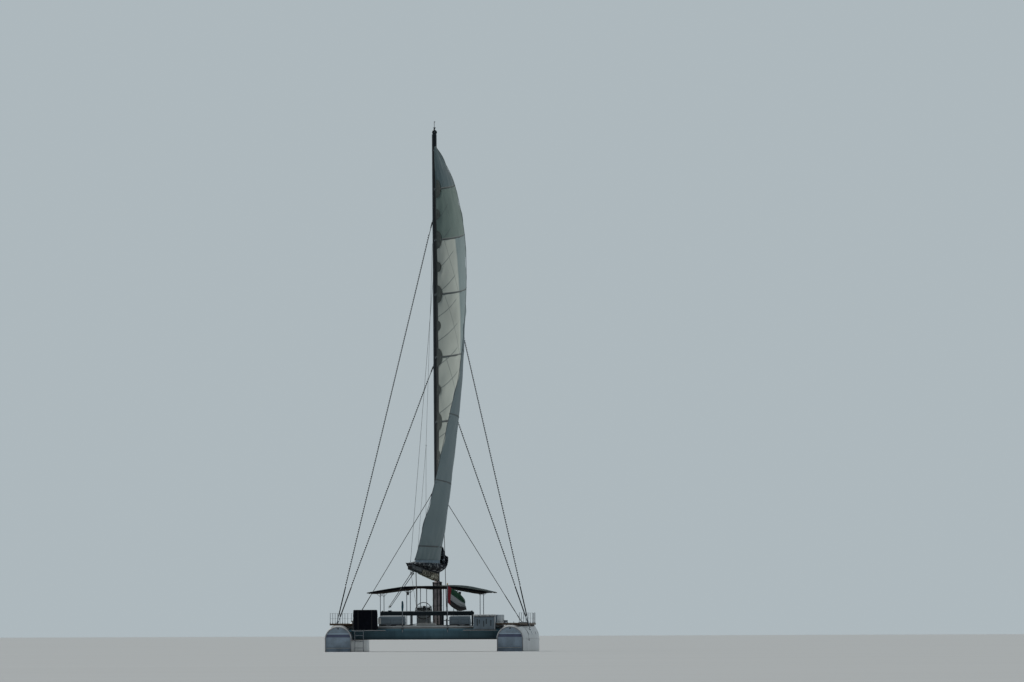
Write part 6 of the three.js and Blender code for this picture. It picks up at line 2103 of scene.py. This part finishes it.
class CatamaranStage(bpy.types.PropertyGroup):
    floor_size: FloatProperty(
        name="Floor size", description="Width of the floor", default=9000, min=100, unit="LENGTH",
    )
    camera_distance: FloatProperty(
        name="Camera distance", description="How far astern the camera is", default=1500, min=60, unit="LENGTH",
    )
    camera_height: FloatProperty(
        name="Camera height", description="Height over the water", default=1.2, min=0.1, unit="LENGTH",
    )
    camera_azimuth: FloatProperty(
        name="Camera azimuth", description="Angle from dead astern", default=math.radians(3.52), subtype="ANGLE",
    )
    camera_roll: FloatProperty(
        name="Camera roll", description="Tilt of the frame", default=math.radians(-0.2), subtype="ANGLE",
    )
    frame_width: FloatProperty(
        name="Frame width", description="Width of the picture at the boat", default=60.24, min=5, unit="LENGTH",
    )
    sun_strength: FloatProperty(name="Sun strength", description="Strength of the key light", default=2.6, min=0)
    sun_azimuth: FloatProperty(
        name="Sun azimuth", description="Direction of the key light from dead ahead", default=math.radians(-62),
        subtype="ANGLE",
    )
    sun_height: FloatProperty(
        name="Sun height", description="Height of the key light", default=math.radians(52), subtype="ANGLE",
    )
    sky_color: swatch("Sky", "Even light from ahead", (0.42, 0.48, 0.51))
    stern_color: swatch("Astern", "Even light from astern", (0.14, 0.16, 0.18))
    sky_strength: FloatProperty(name="Sky strength", description="Strength of the even light", default=1.0, min=0)


class CATAMARAN_OT_finishes(bpy.types.Operator):
    """Makes the surface finishes"""
    bl_idname = "catamaran.finishes"
    bl_label = "Finishes"

    def execute(self, context):
        make_finishes(context.scene.catamaran_colors)
        return {"FINISHED"}


class CATAMARAN_OT_hulls(bpy.types.Operator):
    """Makes both hulls, their transoms, ports and strakes"""
    bl_idname = "catamaran.hulls"
    bl_label = "Hulls"

    def execute(self, context):
        for label, side in SIDES.items():
            hull_shell(f"hull_{label}", side)
            hull_details(f"hull_details_{label}", side)
        boarding_strap()
        return {"FINISHED"}


class CATAMARAN_OT_side_decks(bpy.types.Operator):
    """Makes the planked side decks and their gear"""
    bl_idname = "catamaran.side_decks"
    bl_label = "Side decks"

    def execute(self, context):
        for label, side in SIDES.items():
            plain(f"side_deck_{label}", f"side_deck_{label}_planks", "plank", "deck_plank", 0.012)
            deck_gear(f"side_deck_gear_{label}", side)
            guard_rail(f"guard_rail_{label}", side)
        return {"FINISHED"}


class CATAMARAN_OT_foils(bpy.types.Operator):
    """Makes the keels, rudders, saildrives and propellers"""
    bl_idname = "catamaran.foils"
    bl_label = "Foils and drives"

    def execute(self, context):
        for label in SIDES:
            underwater(f"keel_{label}", "antifouling")
            underwater(f"saildrive_{label}", "antifouling")
            underwater(f"rudder_{label}", "antifouling", f"rudder_{label}")
            underwater(f"propeller_{label}", "bronze", f"propeller_{label}", 40)
        return {"FINISHED"}


class CATAMARAN_OT_bridge(bpy.types.Operator):
    """Makes the bridge, its trim, the deck and the flush panels"""
    bl_idname = "catamaran.bridge"
    bl_label = "Bridge and deck"

    def execute(self, context):
        plain("bridge", "bridge_shell", "bridge", "bridge_paint", 0.014)
        bridge_trim()
        plain("deck", "main_deck", "nonslip", "deck_coat", 0.012)
        deck_panels()
        return {"FINISHED"}


class CATAMARAN_OT_furniture(bpy.types.Operator):
    """Makes the benches, lockers, covered box, console, wheel and traveller"""
    bl_idname = "catamaran.furniture"
    bl_label = "Deck furniture"

    def execute(self, context):
        for name in ("aft_bench_port", "aft_bench_starboard", "side_bench_port", "side_bench_starboard"):
            plain(name, name + "_moulding", "shaded_moulding", "gelcoat", 0.03, steps=3)
        bench_fittings()
        box_cover()
        plain("locker", "locker_moulding", "shaded_moulding", "gelcoat", 0.02)
        locker_gear()
        locker_top()
        plain("console", "console_moulding", "moulding", "gelcoat", 0.035, steps=4)
        console_gear()
        helm_wheel()
        plain("traveller_beam", "traveller_arch", "spar", "spar_paint", 0.02, steps=3)
        traveller_track()
        return {"FINISHED"}


class CATAMARAN_OT_canopy(bpy.types.Operator):
    """Makes the canopy's cloth, hem, stiffeners and frames"""
    bl_idname = "catamaran.canopy"
    bl_label = "Canopy"

    def execute(self, context):
        cloth = canopy_cloth()
        valance = canopy_valance()
        canopy_frame("canopy_frame_aft", FRAME_YS[0], (-2.93, -1.38, -0.78, -0.21, 0.78, 1.38, 2.93), False)
        canopy_frame("canopy_frame_forward", FRAME_YS[1], (-2.93, -1.38, -0.78, 0.78, 1.38, 2.93), True)
        canopy_battens(context.scene.catamaran_sizes.canopy_slats)
        return {"FINISHED"}


class CATAMARAN_OT_mast(bpy.types.Operator):
    """Makes the mast, its coat, its head, the gooseneck and the stays"""
    bl_idname = "catamaran.mast"
    bl_label = "Mast and stays"

    def execute(self, context):
        mast_tube()
        mast_coat()
        masthead()
        plain("gooseneck", "gooseneck_bracket", "steel", "stainless", 0.006, smooth=45)
        low, middle, high = TANG_ZS
        for label, side in SIDES.items():
            tang = (side * 0.145, 0, 0)
            stay(f"cap_shroud_{label}", (side * 5.715, -3.42, CHAINPLATE_Z), high, tang, lamps=True)
            stay(f"inner_shroud_{label}", (side * 5.715, -3.31, CHAINPLATE_Z), middle, tang, lamps=True)
            stay(f"lower_shroud_{label}", (side * 4.97, 1.6, SIDE_DECK_TOP), low, tang)
        stay("forestay", (0, 9.6, 1.9), high, (0, 0.235, 0))
        luff_cars()
        return {"FINISHED"}


class CATAMARAN_OT_sail(bpy.types.Operator):
    """Makes the boom, the mainsail, the bag, the sheet and the lift"""
    bl_idname = "catamaran.sail"
    bl_label = "Boom and mainsail"

    def execute(self, context):
        plain("boom", "boom_tube", "spar", "spar_paint", 0.006, 60, smooth=50, body="boom")
        boom_gear()
        mainsail()
        sail_bag()
        bag_horn()
        bag_trim()
        boom_skirt()
        main_sheet()
        boom_strop()
        lift()
        return {"FINISHED"}


class CATAMARAN_OT_staffs(bpy.types.Operator):
    """Makes the flag, both staffs and the ladder"""
    bl_idname = "catamaran.staffs"
    bl_label = "Flag, staffs and ladder"

    def execute(self, context):
        flagstaff()
        flag()
        port_staff()
        ladder()
        return {"FINISHED"}


class CATAMARAN_OT_foredeck(bpy.types.Operator):
    """Makes the forward beam, walkway, nets and hatches"""
    bl_idname = "catamaran.foredeck"
    bl_label = "Foredeck"

    def execute(self, context):
        sizes = context.scene.catamaran_sizes
        forebeam()
        walkway()
        for label, side in SIDES.items():
            foredeck_net(f"net_{label}", side, sizes.net_cell, sizes.net_cord)
            side_hatch(f"hatch_{label}", side)
        return {"FINISHED"}


class CATAMARAN_OT_stage(bpy.types.Operator):
    """Makes the floor, the lights and the camera"""
    bl_idname = "catamaran.stage"
    bl_label = "Stage"

    def execute(self, context):
        stage(context.scene.catamaran_stage)
        return {"FINISHED"}


STEPS = (
    CATAMARAN_OT_finishes, CATAMARAN_OT_stage, CATAMARAN_OT_hulls, CATAMARAN_OT_side_decks, CATAMARAN_OT_foils,
    CATAMARAN_OT_bridge, CATAMARAN_OT_furniture, CATAMARAN_OT_canopy, CATAMARAN_OT_mast, CATAMARAN_OT_sail,
    CATAMARAN_OT_staffs, CATAMARAN_OT_foredeck,
)
GROUPS = {
    "catamaran_colors": CatamaranColors, "catamaran_sizes": CatamaranSizes, "catamaran_stage": CatamaranStage,
}


class CATAMARAN_PT_panel(bpy.types.Panel):
    """Lists the settings and the steps"""
    bl_idname = "CATAMARAN_PT_panel"
    bl_label = "Catamaran"
    bl_space_type = "VIEW_3D"
    bl_region_type = "UI"
    bl_category = "Catamaran"

    def draw(self, context):
        for key, group in GROUPS.items():
            box = self.layout.box()
            for prop in group.__annotations__:
                box.prop(getattr(context.scene, key), prop)
        for step in STEPS:
            self.layout.operator(step.bl_idname)


def register():
    """Registers settings, steps and panel."""
    for group in GROUPS.values():
        bpy.utils.register_class(group)
    for key, group in GROUPS.items():
        setattr(bpy.types.Scene, key, PointerProperty(type=group))
    for step in (*STEPS, CATAMARAN_PT_panel):
        bpy.utils.register_class(step)


def unregister():
    """Takes settings, steps and panel away."""
    for step in reversed((*STEPS, CATAMARAN_PT_panel)):
        bpy.utils.unregister_class(step)
    for key in GROUPS:
        delattr(bpy.types.Scene, key)
    for group in reversed(GROUPS.values()):
        bpy.utils.unregister_class(group)


def main():
    """Runs all steps."""
    register()
    for step in STEPS:
        group, name = step.bl_idname.split(".")
        getattr(getattr(bpy.ops, group), name)()


if __name__ == "__main__":
    main()
